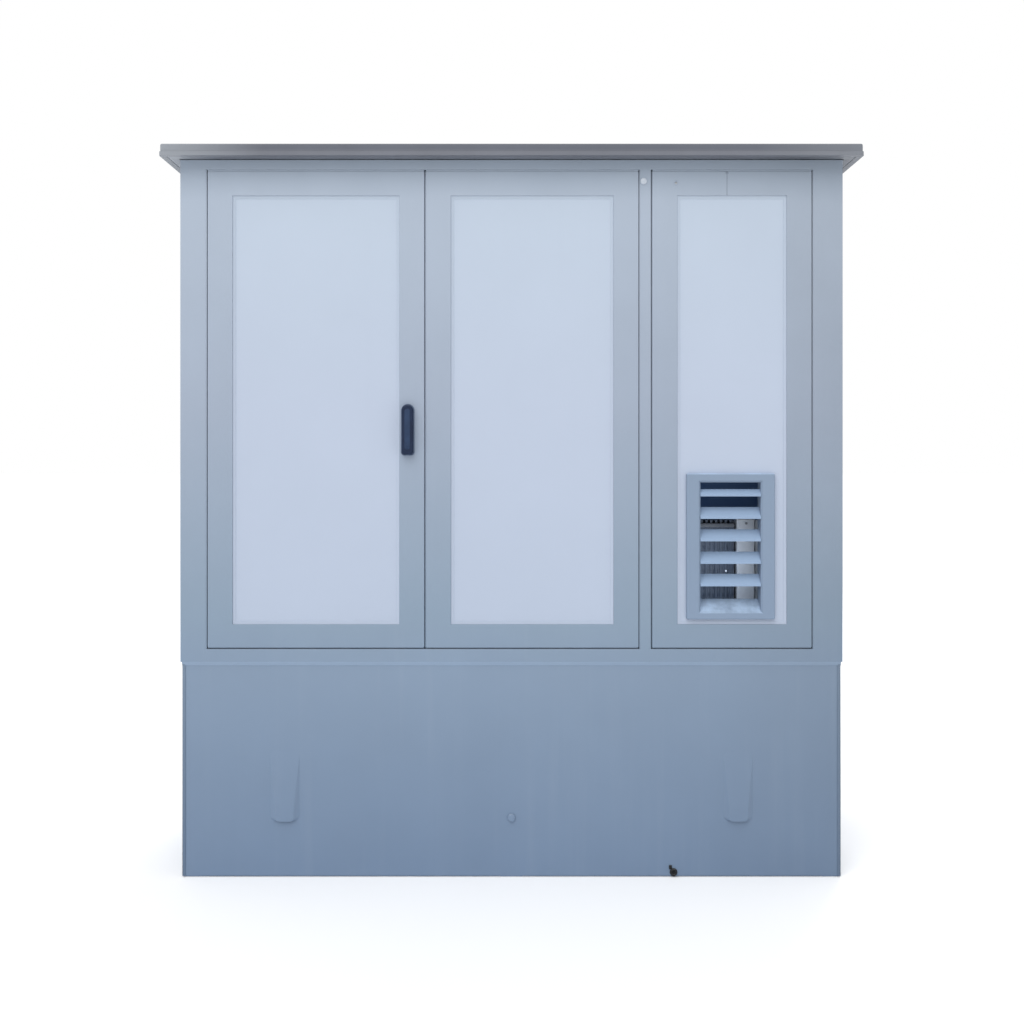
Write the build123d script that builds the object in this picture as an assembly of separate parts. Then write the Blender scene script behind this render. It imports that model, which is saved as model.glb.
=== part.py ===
from build123d import *

import math
import os
from typing import NamedTuple

# Roadside utility cabinet, millimetres, +Z up, front towards -Y, origin on the ground under its middle.

# Overall body
body_width = 1800.0
body_depth = 600.0
body_height = 1365.0
plinth_height = 585.0

# Steel sheet, clearances and the overrun of every cut
sheet = 2.0
floor_sheet = 3.0
bend_radius = 3.0
frame_edge_radius = 1.5
running_gap = 0.05
seat_gap = 0.3
cut_overrun = 5.0

# Front frame and its two openings
left_column = 70.0
right_column = 80.0
mullion_face = 29.5
sill_height = 35.0
head_height = 27.0
jamb_depth = 38.0
right_opening_width = 441.0
left_door_width = 590.0
door_gap = 3.5
side_back_flange = 25.0

# Mullion screw
mullion_screw_radius = 9.0
mullion_screw_rise = 5.0
mullion_screw_round = 4.0
mullion_screw_edge = 9.5
mullion_screw_drop = 32.0
mullion_shank_radius = 3.0
mullion_shank_length = 10.0

# Plinth frame, its anchors and its front cover
plinth_side_inset = 7.5
plinth_front_inset = 6.0
plinth_sheet = 3.0
plinth_corner = 6.0
plinth_post_face = 45.0
plinth_base_flange = 50.0
plinth_base_thickness = 5.0
plinth_top_flange = 40.0
plinth_strut_width = 60.0
plinth_strut_depth = 30.0
anchor_hole_radius = 7.0
anchor_inset = 25.0
cover_sheet = 2.0
cover_top_gap = 1.5
cover_ground_gap = 2.0
cover_corner = 3.0
cover_screw_height = 160.0
cover_screw_radius = 11.0
cover_screw_rise = 6.0
cover_screw_round = 4.5
cover_shank_radius = 4.0
cover_shank_length = 14.0

# Air hoods of the plinth cover and the slots behind them
hood_offset = 617.0
hood_bottom = 152.0
hood_width = 80.0
hood_height = 190.0
hood_corner = 14.0
hood_lip_width = 50.0
hood_lip_height = 36.0
hood_lip_corner = 10.0
hood_depth = 8.0
hood_wall = 2.5
air_slot_width = 60.0
air_slot_height = 110.0
air_slot_corner = 8.0
air_slot_sill = 12.0

# Roof pan
roof_overhang = 45.0
fascia_height = 32.0
roof_rise = 18.0
roof_sheet = 2.0
roof_lip = 15.0
roof_corner = 8.0
roof_hem_step = 2.5
roof_hem_height = 11.0
roof_bend = 4.0
ridge_width = 24.0
ridge_corner = 5.0
bearer_offset = 200.0
bearer_width = 40.0
bearer_end_margin = 110.0

# Ceiling ports, cable entries and partition
port_width = 220.0
port_depth = 110.0
port_corner = 10.0
gland_radius = 24.0
gland_rise = 16.0
gland_flange_radius = 32.0
gland_flange_thickness = 5.0
gland_pitch = 95.0
gland_back_distance = 65.0
gland_round = 8.0
main_gland_count = 6
right_gland_count = 3

# Doors
door_stile = 68.5
door_top_rail = 67.5
door_bottom_rail = 64.0
door_depth = 18.0
door_corner = 4.0
panel_recess = 6.0
panel_sheet = 2.5
panel_lap = 10.0
gasket_width = 10.0
gasket_thickness = 8.0
edge_seal_inset = 20.0
hinge_seal_inset = 31.0

# Hinges
hinge_edge_distance = 12.0
hinge_setback = 9.0
knuckle_radius = 5.0
hinge_pin_radius = 3.0
pin_head_radius = 4.5
pin_head_height = 2.0
frame_knuckle = 30.0
door_knuckle = 18.0
hinge_arm_thickness = 4.0
hinge_foot_thickness = 3.0
hinge_foot_start = 2.0
hinge_foot_end = 27.0
hinge_foot_height = 60.0
door_leaf_thickness = 4.0
door_leaf_end = 24.0
hinge_notch_gap = 4.0
knuckle_side_gap = 1.0
hinge_end_distance = 170.0

# Swing handle of the left door
handle_edge_distance = 45.0
handle_level = 683.0
handle_width = 36.0
handle_reach = 122.0
handle_foot_corner = 9.0
handle_base_thickness = 6.0
handle_base_round = 2.0
lever_margin = 2.5
lever_thickness = 15.0
lever_round = 5.0
lever_tilt_max = 35.0
lever_tilt_spare = 2.0
lever_pin_setback = 6.6
lever_pin_radius = 2.5
lever_pin_end_gap = 0.5
lug_width = 10.0
lug_radius = 5.0
lug_slot_reach = 9.0
rotor_radius = 12.0
spindle_radius = 6.0
spindle_hole_gap = 1.0

# Lock gear and rods of the left door
gear_module = 1.0
gear_teeth = 16
gear_addendum_share = 0.9
gear_dedendum_share = 1.25
gear_tooth_share = 0.42
gear_pressure_angle = 20.0
pinion_width = 12.0
rod_width = 5.0
rod_depth = 10.0
rod_setback = 17.0
rack_half_length = 24.0
rod_tip_gap = 2.0
rod_hole_gap = 1.5
gearbox_setback = 10.0
gearbox_wall = 2.0
gearbox_back_wall = 4.0
gearbox_half_height = 32.0
gearbox_neck_width = 16.0
gearbox_neck_height = 40.0
journal_radius = 4.0
guide_height = 16.0
guide_wall = 3.0
guide_end_distance = 90.0
guide_spacing = 260.0

# Slide bolts of the middle door
bolt_edge_distance = 42.0
bolt_width = 14.0
bolt_depth = 8.0
bolt_setback = 14.0
bolt_length = 160.0
bolt_bracket_height = 84.0
bolt_bracket_tip_distance = 46.0
bolt_bracket_wall = 5.0
bolt_tab_height = 10.0
bolt_tab_depth = 14.0
bolt_tab_end_gap = 4.0

# Cam lock of the right door
lock_edge_distance = 64.5
lock_top_distance = 33.0
lock_radius = 6.0
lock_proud = 1.0
lock_collar_radius = 7.4
lock_collar_length = 8.0
lock_key_recess = 1.5
lock_shaft_radius = 3.5
lock_sleeve_length = 43.0
cam_width = 16.0
cam_length = 49.0
cam_thickness = 4.0
cam_gap = 0.5

# Louvre of the right door
louvre_width = 240.0
louvre_height = 396.0
louvre_opening_width = 164.0
louvre_top_border = 24.0
louvre_bottom_border = 22.0
louvre_left_margin = 24.0
louvre_bottom_margin = 13.5
louvre_proud = 12.0
louvre_edge_radius = 4.0
louvre_corner = 4.0
louvre_mouth_bevel = 5.0
tunnel_wall = 2.5
tunnel_depth = 32.0
sill_rise = 29.0
blade_count = 5
blade_pitch = 61.0
blade_first_drop = 38.0
blade_rise = 26.0
blade_run = 28.0
blade_lip = 5.0
blade_sheet = 2.0
blade_setback = 2.5
first_blade_share = 0.55

# Left bay: rack uprights and units
rack_centre_shift = 5.0
rack_opening = 450.0
rack_angle = 35.0
rack_setback = 110.0
rack_depth = 380.0
unit_ear_width = 482.6
unit_ear_thickness = 3.0
unit_body_width = 440.0
unit_body_depth = 280.0
unit_body_margin = 2.0
rack_unit_height = 44.0
low_unit_level = 330.0
middle_unit_level = 720.0
high_unit_level = 790.0
low_unit_slots = 3
middle_unit_slots = 1
high_unit_slots = 1

# Middle bay: mounting plate and what it carries
plate_bottom = 130.0
plate_height = 1100.0
plate_sheet = 3.0
plate_foot = 31.0
rail_width = 340.0
rail_end_gap = 14.0
rail_height = 35.0
rail_lip = 5.0
rail_rise = 7.5
rail_sheet = 1.0
terminal_rail_level = 520.0
breaker_rail_level = 880.0
terminal_count = 14
terminal_width = 12.0
terminal_height = 46.0
terminal_depth = 42.0
terminal_step = 14.0
breaker_width = 90.0
breaker_height = 86.0
breaker_depth = 48.0
breaker_nose_height = 44.0
breaker_nose_depth = 14.0
toggle_width = 44.0
toggle_radius = 7.0
toggle_reach = 13.0
toggle_thickness = 5.0
toggle_rest_angle = 40.0
duct_width = 36.0
duct_depth = 48.0
duct_wall = 2.0
duct_slot = 8.0
duct_slot_depth = 32.0
duct_slot_pitch = 60.0
duct_end_margin = 30.0
earth_bar_width = 260.0
earth_bar_height = 20.0
earth_bar_thickness = 6.0
earth_bar_level = 75.0
earth_foot_width = 18.0
earth_foot_depth = 24.0

# Right bay: shelf, finned unit, white box and lamp
shelf_height = 62.0
shelf_setback = 170.0
shelf_lip = 25.0
unit_setback = 200.0
finned_side_gap = 59.0
finned_width = 224.0
finned_height = 312.0
finned_depth = 190.0
fin_pitch = 14.0
fin_width = 6.0
fin_depth = 22.0
fin_count = 15
white_box_gap = 4.0
white_box_width = 54.0
white_box_height = 318.0
white_box_depth = 190.0
white_box_corner = 6.0
lamp_radius = 2.6
lamp_rise = 2.0
lamp_level = 165.0
lamp_fin = 13


class Area(NamedTuple):
    """A rectangle in the front view, from left to right and from bottom to top."""

    left: float
    right: float
    bottom: float
    top: float

    def inset(self, left, right, bottom, top):
        return Area(self.left + left, self.right - right, self.bottom + bottom, self.top - top)

    def grown(self, amount):
        return self.inset(-amount, -amount, -amount, -amount)

    def sketch(self):
        middle = Pos((self.left + self.right) / 2, (self.bottom + self.top) / 2)
        return middle * Rectangle(self.right - self.left, self.top - self.bottom)

    def rounded(self, radius):
        middle = Pos((self.left + self.right) / 2, (self.bottom + self.top) / 2)
        return middle * RectangleRounded(self.right - self.left, self.top - self.bottom, radius)


def slab(outline, y_front, depth):
    """A front-view outline given a depth towards the back."""
    return extrude(Plane.XZ.offset(-y_front) * outline, amount=depth, dir=(0, 1, 0))


def prism(section, x_left, width):
    """A side-view section, in depth and height, given a width to the right."""
    return extrude(Plane.YZ.offset(x_left) * section, amount=width, dir=(1, 0, 0))


def span(x0, x1, y0, y1, z0, z1):
    """A plain bar between two opposite corners."""
    return Pos((x0 + x1) / 2, (y0 + y1) / 2, (z0 + z1) / 2) * Box(x1 - x0, y1 - y0, z1 - z0)


def rod_along_y(x, z, radius, y_front, depth):
    return slab(Pos(x, z) * Circle(radius), y_front, depth)


def rod_along_z(x, y, radius, z_bottom, height):
    return Pos(x, y, z_bottom + height / 2) * Cylinder(radius, height)


def front_edges(solid):
    return solid.faces().sort_by(Axis.Y)[0].edges()


def edges_within(edges, area):
    """The edges whose middle lies inside an area of the front view."""
    level = [e for e in edges if area.bottom < e.center().Z < area.top]
    return [e for e in level if area.left < e.center().X < area.right]


def dome_screw(x, z, y_face, radius, rise, rounding, shank_radius, shank_length):
    """A round-topped screw whose head rests on the face at y_face."""
    head = rod_along_y(x, z, radius, y_face - rise, rise)
    head = fillet(front_edges(head), rounding)
    return head + rod_along_y(x, z, shank_radius, y_face, shank_length)


nodes = {}

# Planes and areas that the pieces share
front = -body_depth / 2
back = body_depth / 2
side = body_width / 2
body_bottom = plinth_height
body_top = plinth_height + body_height
floor_top = body_bottom + floor_sheet
ceiling_bottom = body_top - sheet
gutter_floor = front + jamb_depth
door_back = front + sheet
panel_face = front + panel_recess
seal_line = door_back + gasket_thickness + seat_gap

opening_bottom = body_bottom + sill_height
opening_top = body_top - head_height
right_opening_left = side - right_column - right_opening_width
main_opening = Area(-side + left_column, right_opening_left - mullion_face, opening_bottom, opening_top)
right_opening = Area(right_opening_left, side - right_column, opening_bottom, opening_top)
meeting_left = main_opening.left + door_gap + left_door_width
left_door = Area(main_opening.left, meeting_left, opening_bottom, opening_top)
left_door = left_door.inset(door_gap, 0, door_gap, door_gap)
middle_door = main_opening.inset(0, door_gap, door_gap, door_gap)
middle_door = Area(meeting_left + door_gap, middle_door.right, middle_door.bottom, middle_door.top)
right_door = right_opening.grown(-door_gap)
meeting_middle = (left_door.right + middle_door.left) / 2

# Sizes that follow from the lock gear
pitch_radius = gear_module * gear_teeth / 2
gear_addendum = gear_module * gear_addendum_share
gear_dedendum = gear_module * gear_dedendum_share
tooth_pitch = math.pi * gear_module
tooth_half = tooth_pitch * gear_tooth_share / 2
flank_slope = math.tan(math.radians(gear_pressure_angle))
rod_inner = pitch_radius + gear_dedendum
rod_outer = rod_inner + rod_width
handle_x = left_door.right - handle_edge_distance
handle_z = body_bottom + handle_level
rod_front = front + rod_setback
rod_back = rod_front + rod_depth
seal_half_inset = sheet / 2
post_half = door_gap / 2 + edge_seal_inset + seal_half_inset
main_sill_top = main_opening.bottom + door_gap + edge_seal_inset + seal_half_inset
main_head_bottom = main_opening.top - door_gap - edge_seal_inset - seal_half_inset
upper_rod_tip = main_head_bottom - rod_tip_gap
lower_rod_tip = main_sill_top + rod_tip_gap
bolt_x = middle_door.left + bolt_edge_distance
bolt_front = front + bolt_setback
bolt_back = bolt_front + bolt_depth


# Plinth
plinth_half = side - plinth_side_inset
cover_front = front + plinth_front_inset
plinth_front = cover_front + cover_sheet
plinth_back = back - plinth_front_inset
plinth_depth = plinth_back - plinth_front
plinth_middle = (plinth_front + plinth_back) / 2
anchor_x = plinth_half - plinth_sheet - anchor_inset
anchor_y = plinth_depth / 2 - plinth_sheet - anchor_inset


def plinth_outline(inward):
    width = 2 * (plinth_half - inward)
    depth = plinth_depth - 2 * inward
    corner = max(plinth_corner - inward, plinth_corner / 2)
    return Pos(0, plinth_middle) * RectangleRounded(width, depth, corner)


def plinth_frame():
    walls = extrude(plinth_outline(0) - plinth_outline(plinth_sheet), amount=plinth_height)
    front_gap = span(
        plinth_post_face - plinth_half,
        plinth_half - plinth_post_face,
        plinth_front - cut_overrun,
        plinth_front + plinth_sheet,
        -cut_overrun,
        plinth_height + cut_overrun,
    )
    inner = plinth_outline(plinth_sheet)
    base = inner - plinth_outline(plinth_sheet + plinth_base_flange)
    top = inner - plinth_outline(plinth_sheet + plinth_top_flange)
    base_ring = extrude(base, amount=plinth_base_thickness)
    top_ring = Pos(0, 0, plinth_height - plinth_sheet) * extrude(top, amount=plinth_sheet)
    strut_middle = Pos(0, plinth_front + plinth_strut_depth / 2)
    strut_face = strut_middle * Rectangle(plinth_strut_width, plinth_strut_depth)
    strut_hollow = Pos(0, plinth_sheet) * strut_middle * Rectangle(
        plinth_strut_width - 2 * plinth_sheet, plinth_strut_depth
    )
    strut = extrude(strut_face - strut_hollow, amount=plinth_height)
    screw_hole = rod_along_y(
        0, cover_screw_height, cover_shank_radius + running_gap, cover_front, cover_shank_length
    )
    frame = walls - front_gap + base_ring + top_ring + strut - screw_hole
    for x in (-anchor_x, anchor_x):
        for y in (plinth_middle - anchor_y, plinth_middle + anchor_y):
            frame -= rod_along_z(x, y, anchor_hole_radius, 0, plinth_base_thickness)
    return frame


def air_hood(x):
    """A pressed cowl, flush at its top and standing out over its open lower edge."""
    foot = Pos(x, hood_bottom + hood_height / 2) * RectangleRounded(hood_width, hood_height, hood_corner)
    lip = RectangleRounded(hood_lip_width, hood_lip_height, hood_lip_corner)
    on_cover = Plane.XZ.offset(-cover_front) * foot
    raised = Plane.XZ.offset(hood_depth - cover_front) * (Pos(x, hood_bottom + hood_lip_height / 2) * lip)
    cowl = loft([on_cover, raised], ruled=True)
    return cowl - Pos(0, hood_wall, 0) * cowl


def plinth_cover():
    area = Area(-plinth_half, plinth_half, cover_ground_gap, plinth_height - cover_top_gap)
    outline = area.rounded(cover_corner)
    for x in (-hood_offset, hood_offset):
        slot = RectangleRounded(air_slot_width, air_slot_height, air_slot_corner)
        outline -= Pos(x, hood_bottom + air_slot_sill + air_slot_height / 2) * slot
    cover = slab(outline, cover_front, cover_sheet)
    return cover - rod_along_y(
        0, cover_screw_height, cover_shank_radius + running_gap, cover_front, cover_sheet
    )


nodes["plinth_frame"] = plinth_frame()
nodes["plinth_cover"] = plinth_cover()
nodes["plinth_air_hoods"] = Compound(children=[air_hood(x) for x in (-hood_offset, hood_offset)])
nodes["plinth_cover_screw"] = dome_screw(
    0,
    cover_screw_height,
    cover_front,
    cover_screw_radius,
    cover_screw_rise,
    cover_screw_round,
    cover_shank_radius,
    cover_shank_length,
)


# Body sheets
mullion_screw_x = main_opening.right + mullion_screw_edge
mullion_screw_z = opening_top - mullion_screw_drop


def front_frame():
    face = Area(-side, side, body_bottom, body_top).sketch()
    frame = slab(face - main_opening.sketch() - right_opening.sketch(), front, sheet)
    for opening in (main_opening, right_opening):
        frame += slab(opening.grown(sheet).sketch() - opening.sketch(), front, jamb_depth)
    frame = fillet(front_edges(frame), frame_edge_radius)
    hole_radius = mullion_shank_radius + running_gap
    return frame - rod_along_y(mullion_screw_x, mullion_screw_z, hole_radius, front, sheet)


def left_side_sheet():
    wall = span(-side, sheet - side, front + sheet, back, body_bottom, body_top)
    flange = span(-side, side_back_flange - side, back - sheet, back, body_bottom, body_top)
    folded = wall + flange
    corner = folded.edges().filter_by(Axis.Z).sort_by(lambda e: e.center().Y - e.center().X)[-1]
    return fillet([corner], frame_edge_radius)


def gutter(opening, left, right):
    """A drip channel round an opening: a floor behind the jambs and an upstand that meets the gasket."""
    level = door_gap + edge_seal_inset
    line = opening.inset(door_gap + left, door_gap + right, level, level)
    outer = line.grown(seal_half_inset).sketch()
    inner = line.grown(-seal_half_inset).sketch()
    floor = slab(opening.grown(sheet).sketch() - inner, gutter_floor, sheet)
    return floor + slab(outer - inner, seal_line, gutter_floor - seal_line)


def upstand_hole(x, width, y0, y1, z):
    """A slot through the upper or lower upstand for the end of a rod or bolt."""
    return span(
        x - width / 2 - rod_hole_gap,
        x + width / 2 + rod_hole_gap,
        y0 - rod_hole_gap,
        y1 + rod_hole_gap,
        z - sheet,
        z + sheet,
    )


def main_rain_gutter():
    """The gutter of both meeting doors, open to the centre post's channel above and below."""
    channel = gutter(main_opening, hinge_seal_inset, hinge_seal_inset)
    rod_middle = (rod_inner + rod_outer) / 2
    sill = main_sill_top - seal_half_inset
    head = main_head_bottom + seal_half_inset
    channel -= upstand_hole(handle_x + rod_middle, rod_width, rod_front, rod_back, head)
    channel -= upstand_hole(handle_x - rod_middle, rod_width, rod_front, rod_back, sill)
    for level in (sill, head):
        channel -= upstand_hole(bolt_x, bolt_width, bolt_front, bolt_back, level)
        channel -= span(
            meeting_middle - post_half + sheet,
            meeting_middle + post_half - sheet,
            seal_line,
            gutter_floor,
            level - sheet,
            level + sheet,
        )
    return channel


def centre_post():
    depth = gutter_floor + sheet - seal_line
    outer = Pos(meeting_middle, seal_line + depth / 2) * Rectangle(2 * post_half, depth)
    hollow = Pos(meeting_middle, seal_line + depth / 2 - sheet) * Rectangle(2 * (post_half - sheet), depth)
    return Pos(0, 0, main_sill_top) * extrude(outer - hollow, amount=main_head_bottom - main_sill_top)


def ceiling_plate():
    plate = span(sheet - side, side - sheet, front + sheet, back - sheet, ceiling_bottom, body_top)
    for x in (main_bay_middle, right_bay_middle):
        port = extrude(Pos(x, 0) * RectangleRounded(port_width, port_depth, port_corner), amount=sheet)
        plate -= Pos(0, 0, ceiling_bottom) * port
    return plate


def gland_places():
    y = back - gland_back_distance
    places = []
    for centre, count in ((main_bay_middle, main_gland_count), (right_bay_middle, right_gland_count)):
        first = centre - gland_pitch * (count - 1) / 2
        places += [(first + gland_pitch * i, y) for i in range(count)]
    return places


def floor_plate():
    plate = span(sheet - side, side - sheet, front + sheet, back - sheet, body_bottom, floor_top)
    for x, y in gland_places():
        plate -= rod_along_z(x, y, gland_radius + seat_gap, body_bottom, floor_sheet)
    return plate


def cable_gland(x, y):
    """A closed entry membrane: a plug through the floor under a wider domed flange."""
    plug = rod_along_z(x, y, gland_radius, body_bottom, floor_sheet)
    flange = rod_along_z(x, y, gland_flange_radius, floor_top, gland_flange_thickness)
    dome = rod_along_z(x, y, gland_radius, floor_top, gland_rise)
    dome = fillet(dome.faces().sort_by(Axis.Z)[-1].edges(), gland_round)
    return plug + flange + dome


back_face = back - 2 * sheet
partition_x = (main_opening.right + right_opening.left) / 2
main_bay_middle = (partition_x - side) / 2
right_bay_middle = (partition_x + side) / 2
nodes["front_frame"] = front_frame()
nodes["left_side_sheet"] = left_side_sheet()
nodes["right_side_sheet"] = mirror(left_side_sheet(), about=Plane.YZ)
nodes["back_sheet"] = span(sheet - side, side - sheet, back_face, back - sheet, floor_top, ceiling_bottom)
nodes["ceiling_plate"] = ceiling_plate()
nodes["floor_plate"] = floor_plate()
nodes["cable_glands"] = Compound(children=[cable_gland(x, y) for x, y in gland_places()])
nodes["partition"] = span(
    partition_x - sheet / 2, partition_x + sheet / 2, front + sheet, back_face, floor_top, ceiling_bottom
)
nodes["main_rain_gutter"] = main_rain_gutter()
nodes["right_rain_gutter"] = gutter(right_opening, edge_seal_inset, hinge_seal_inset)
nodes["centre_post"] = centre_post()
nodes["mullion_screw"] = dome_screw(
    mullion_screw_x,
    mullion_screw_z,
    front,
    mullion_screw_radius,
    mullion_screw_rise,
    mullion_screw_round,
    mullion_shank_radius,
    mullion_shank_length,
)


# Roof pan and the bearers that hold it off the ceiling
roof_half_width = side + roof_overhang
roof_half_depth = back + roof_overhang


def roof_mass(inward):
    """The roof's outer form, or the hollow under its sheet when moved inward."""
    inset = roof_hem_step + inward
    width = 2 * (roof_half_width - inset)
    depth = 2 * (roof_half_depth - inset)
    eaves = RectangleRounded(width, depth, roof_corner - inset)
    ridge = RectangleRounded(width - depth + ridge_width, ridge_width, ridge_corner)
    fascia = extrude(eaves, amount=fascia_height - inward)
    eaves_level = fascia_height - inward
    slopes = loft([Pos(0, 0, eaves_level) * eaves, Pos(0, 0, eaves_level + roof_rise) * ridge], ruled=True)
    return Pos(0, 0, body_top) * (fascia + slopes)


def roof_cap():
    mass = roof_mass(0)
    eaves_level = body_top + fascia_height
    eaves = [e for e in mass.edges() if abs(e.center().Z - eaves_level) < roof_sheet / 2]
    mass = fillet(eaves, roof_bend)
    lip_outer = RectangleRounded(2 * roof_half_width, 2 * roof_half_depth, roof_corner)
    lip_inner = Rectangle(
        2 * (roof_half_width - roof_sheet - roof_lip), 2 * (roof_half_depth - roof_sheet - roof_lip)
    )
    lip = Pos(0, 0, body_top) * extrude(lip_outer - lip_inner, amount=roof_sheet)
    hem_inner = 2 * (roof_hem_step + roof_sheet)
    hem = lip_outer - Rectangle(2 * roof_half_width - hem_inner, 2 * roof_half_depth - hem_inner)
    hem = Pos(0, 0, body_top) * extrude(hem, amount=roof_hem_height)
    return mass - roof_mass(roof_sheet) + lip + hem


def roof_bearer(y):
    """An upturned channel whose top follows the slope of the roof."""
    reach = side - bearer_end_margin
    top = body_top + fascia_height + roof_rise
    half = bearer_width / 2
    channel = span(-reach, reach, y - half, y + half, body_top, top) & roof_mass(roof_sheet)
    hollow = span(-reach, reach, y - half + sheet, y + half - sheet, body_top, top)
    return channel - (hollow & roof_mass(roof_sheet + sheet))


nodes["roof_cap"] = roof_cap()
nodes["roof_bearers"] = Compound(children=[roof_bearer(y) for y in (-bearer_offset, bearer_offset)])


# Doors
hinge_y = front + hinge_setback
knuckle_half = frame_knuckle / 2
door_leaf_half = knuckle_half + seat_gap + door_knuckle


def hinge_heights(door):
    low = door.bottom + hinge_end_distance
    high = door.top - hinge_end_distance
    return (low, (low + high) / 2, high)


def from_edge(edge, inward, u0, u1, y0, y1, z0, z1):
    """A bar given by its distances from a door's hinge edge, inward being +1 or -1 along X."""
    x0, x1 = sorted((edge + inward * u0, edge + inward * u1))
    return span(x0, x1, y0, y1, z0, z1)


def infill_area(door):
    return door.inset(door_stile, door_stile, door_bottom_rail, door_top_rail)


def door_frame(door, edge, inward):
    """A folded ring: face, outer flange with hinge notches, and an inner flange for the infill sheet."""
    infill = infill_area(door)
    outer = slab(door.rounded(door_corner), front, door_depth)
    outer = fillet(front_edges(outer), bend_radius)
    hollow = slab(door.grown(-sheet).rounded(door_corner - sheet), door_back, door_depth)
    hollow = fillet(front_edges(hollow), bend_radius - sheet)
    ring = outer - hollow - slab(infill.sketch(), front, door_depth)
    ring += slab(infill.grown(sheet).sketch() - infill.sketch(), front, panel_recess)
    ring = fillet(edges_within(front_edges(ring), infill.grown(sheet)), frame_edge_radius)
    reach = knuckle_half + hinge_notch_gap
    notch_back = front + door_depth + cut_overrun
    for z in hinge_heights(door):
        ring -= from_edge(
            edge, inward, -sheet, sheet, front + bend_radius, notch_back, z - reach, z + reach
        )
    return ring


def infill_sheet(door):
    return slab(infill_area(door).grown(panel_lap).sketch(), panel_face, panel_sheet)


def door_gasket(door, left, right):
    line = door.inset(left, right, edge_seal_inset, edge_seal_inset)
    outer = line.grown(gasket_width / 2).rounded(gasket_width)
    inner = line.grown(-gasket_width / 2).sketch()
    return slab(outer - inner, door_back, gasket_thickness)


def door_hinge_leaf(edge, inward, z):
    """A plate on the door's face with a knuckle above and below the frame's one."""
    x = edge + inward * hinge_edge_distance
    start = hinge_edge_distance - knuckle_radius
    plate_back = door_back + door_leaf_thickness
    bottom = z - door_leaf_half
    top = z + door_leaf_half
    leaf = from_edge(edge, inward, start, door_leaf_end, door_back, plate_back, bottom, top)
    notch_half = knuckle_half + seat_gap
    notch_end = hinge_edge_distance + knuckle_radius + knuckle_side_gap
    leaf -= from_edge(edge, inward, 0, notch_end, door_back, plate_back, z - notch_half, z + notch_half)
    for knuckle_bottom in (bottom, z + notch_half):
        leaf += rod_along_z(x, hinge_y, knuckle_radius, knuckle_bottom, door_knuckle)
    return leaf - rod_along_z(x, hinge_y, hinge_pin_radius + running_gap, bottom, top - bottom)


def frame_hinge_leaf(edge, inward, z):
    """A foot on the gutter's floor with an arm forward to the middle knuckle."""
    x = edge + inward * hinge_edge_distance
    bottom = z - knuckle_half
    arm_end = hinge_edge_distance + hinge_arm_thickness
    foot_half = hinge_foot_height / 2
    foot_front = gutter_floor - hinge_foot_thickness
    leaf = rod_along_z(x, hinge_y, knuckle_radius, bottom, frame_knuckle)
    leaf += from_edge(
        edge, inward, hinge_edge_distance, arm_end, hinge_y, gutter_floor, bottom, bottom + frame_knuckle
    )
    leaf += from_edge(
        edge, inward, hinge_foot_start, hinge_foot_end, foot_front, gutter_floor, z - foot_half, z + foot_half
    )
    return leaf - rod_along_z(x, hinge_y, hinge_pin_radius + running_gap, bottom, frame_knuckle)


def hinge_pin(edge, inward, z):
    x = edge + inward * hinge_edge_distance
    pin = rod_along_z(x, hinge_y, hinge_pin_radius, z - door_leaf_half, 2 * door_leaf_half + seat_gap)
    return pin + rod_along_z(x, hinge_y, pin_head_radius, z + door_leaf_half + seat_gap, pin_head_height)


hung_doors = {
    "left": (left_door, left_door.left, 1),
    "middle": (middle_door, middle_door.right, -1),
    "right": (right_door, right_door.right, -1),
}
seal_insets = {
    "left": (hinge_seal_inset, edge_seal_inset),
    "middle": (edge_seal_inset, hinge_seal_inset),
    "right": (edge_seal_inset, hinge_seal_inset),
}
frame_leaves = []
pins = []
for name, (door, edge, inward) in hung_doors.items():
    heights = hinge_heights(door)
    nodes[f"{name}_door_frame"] = door_frame(door, edge, inward)
    nodes[f"{name}_door_panel"] = infill_sheet(door)
    nodes[f"{name}_door_gasket"] = door_gasket(door, *seal_insets[name])
    door_leaves = [door_hinge_leaf(edge, inward, z) for z in heights]
    nodes[f"{name}_door_hinge_leaves"] = Compound(children=door_leaves)
    frame_leaves += [frame_hinge_leaf(edge, inward, z) for z in heights]
    pins += [hinge_pin(edge, inward, z) for z in heights]
nodes["frame_hinge_leaves"] = Compound(children=frame_leaves)
nodes["hinge_pins"] = Compound(children=pins)


# Swing handle
base_front = front - handle_base_thickness
lever_back = base_front - seat_gap
lever_pin_y = lever_back - lever_pin_setback
gearbox_front = front + gearbox_setback
cavity_front = gearbox_front + gearbox_wall
cavity_back = rod_back + (rod_front - cavity_front)
gearbox_back = cavity_back + gearbox_back_wall
cavity_half = rod_outer + seat_gap


def handle_outline(inward):
    """Round at the spindle, with a straight bar below it."""
    width = handle_width - 2 * inward
    length = handle_reach - inward
    bar = Pos(0, -length / 2) * Rectangle(width, length)
    bar = fillet(bar.vertices().sort_by(Axis.Y)[:2], handle_foot_corner - inward)
    return Pos(handle_x, handle_z) * (bar + Circle(width / 2))


def handle_base():
    plate = slab(handle_outline(0), base_front, handle_base_thickness)
    plate = fillet(front_edges(plate), handle_base_round)
    hole_radius = rotor_radius + running_gap
    return plate - rod_along_y(handle_x, handle_z, hole_radius, base_front, handle_base_thickness)


def across_lever(radius, length):
    return Pos(handle_x, lever_pin_y, handle_z) * Rot(0, 90, 0) * Cylinder(radius, length)


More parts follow.
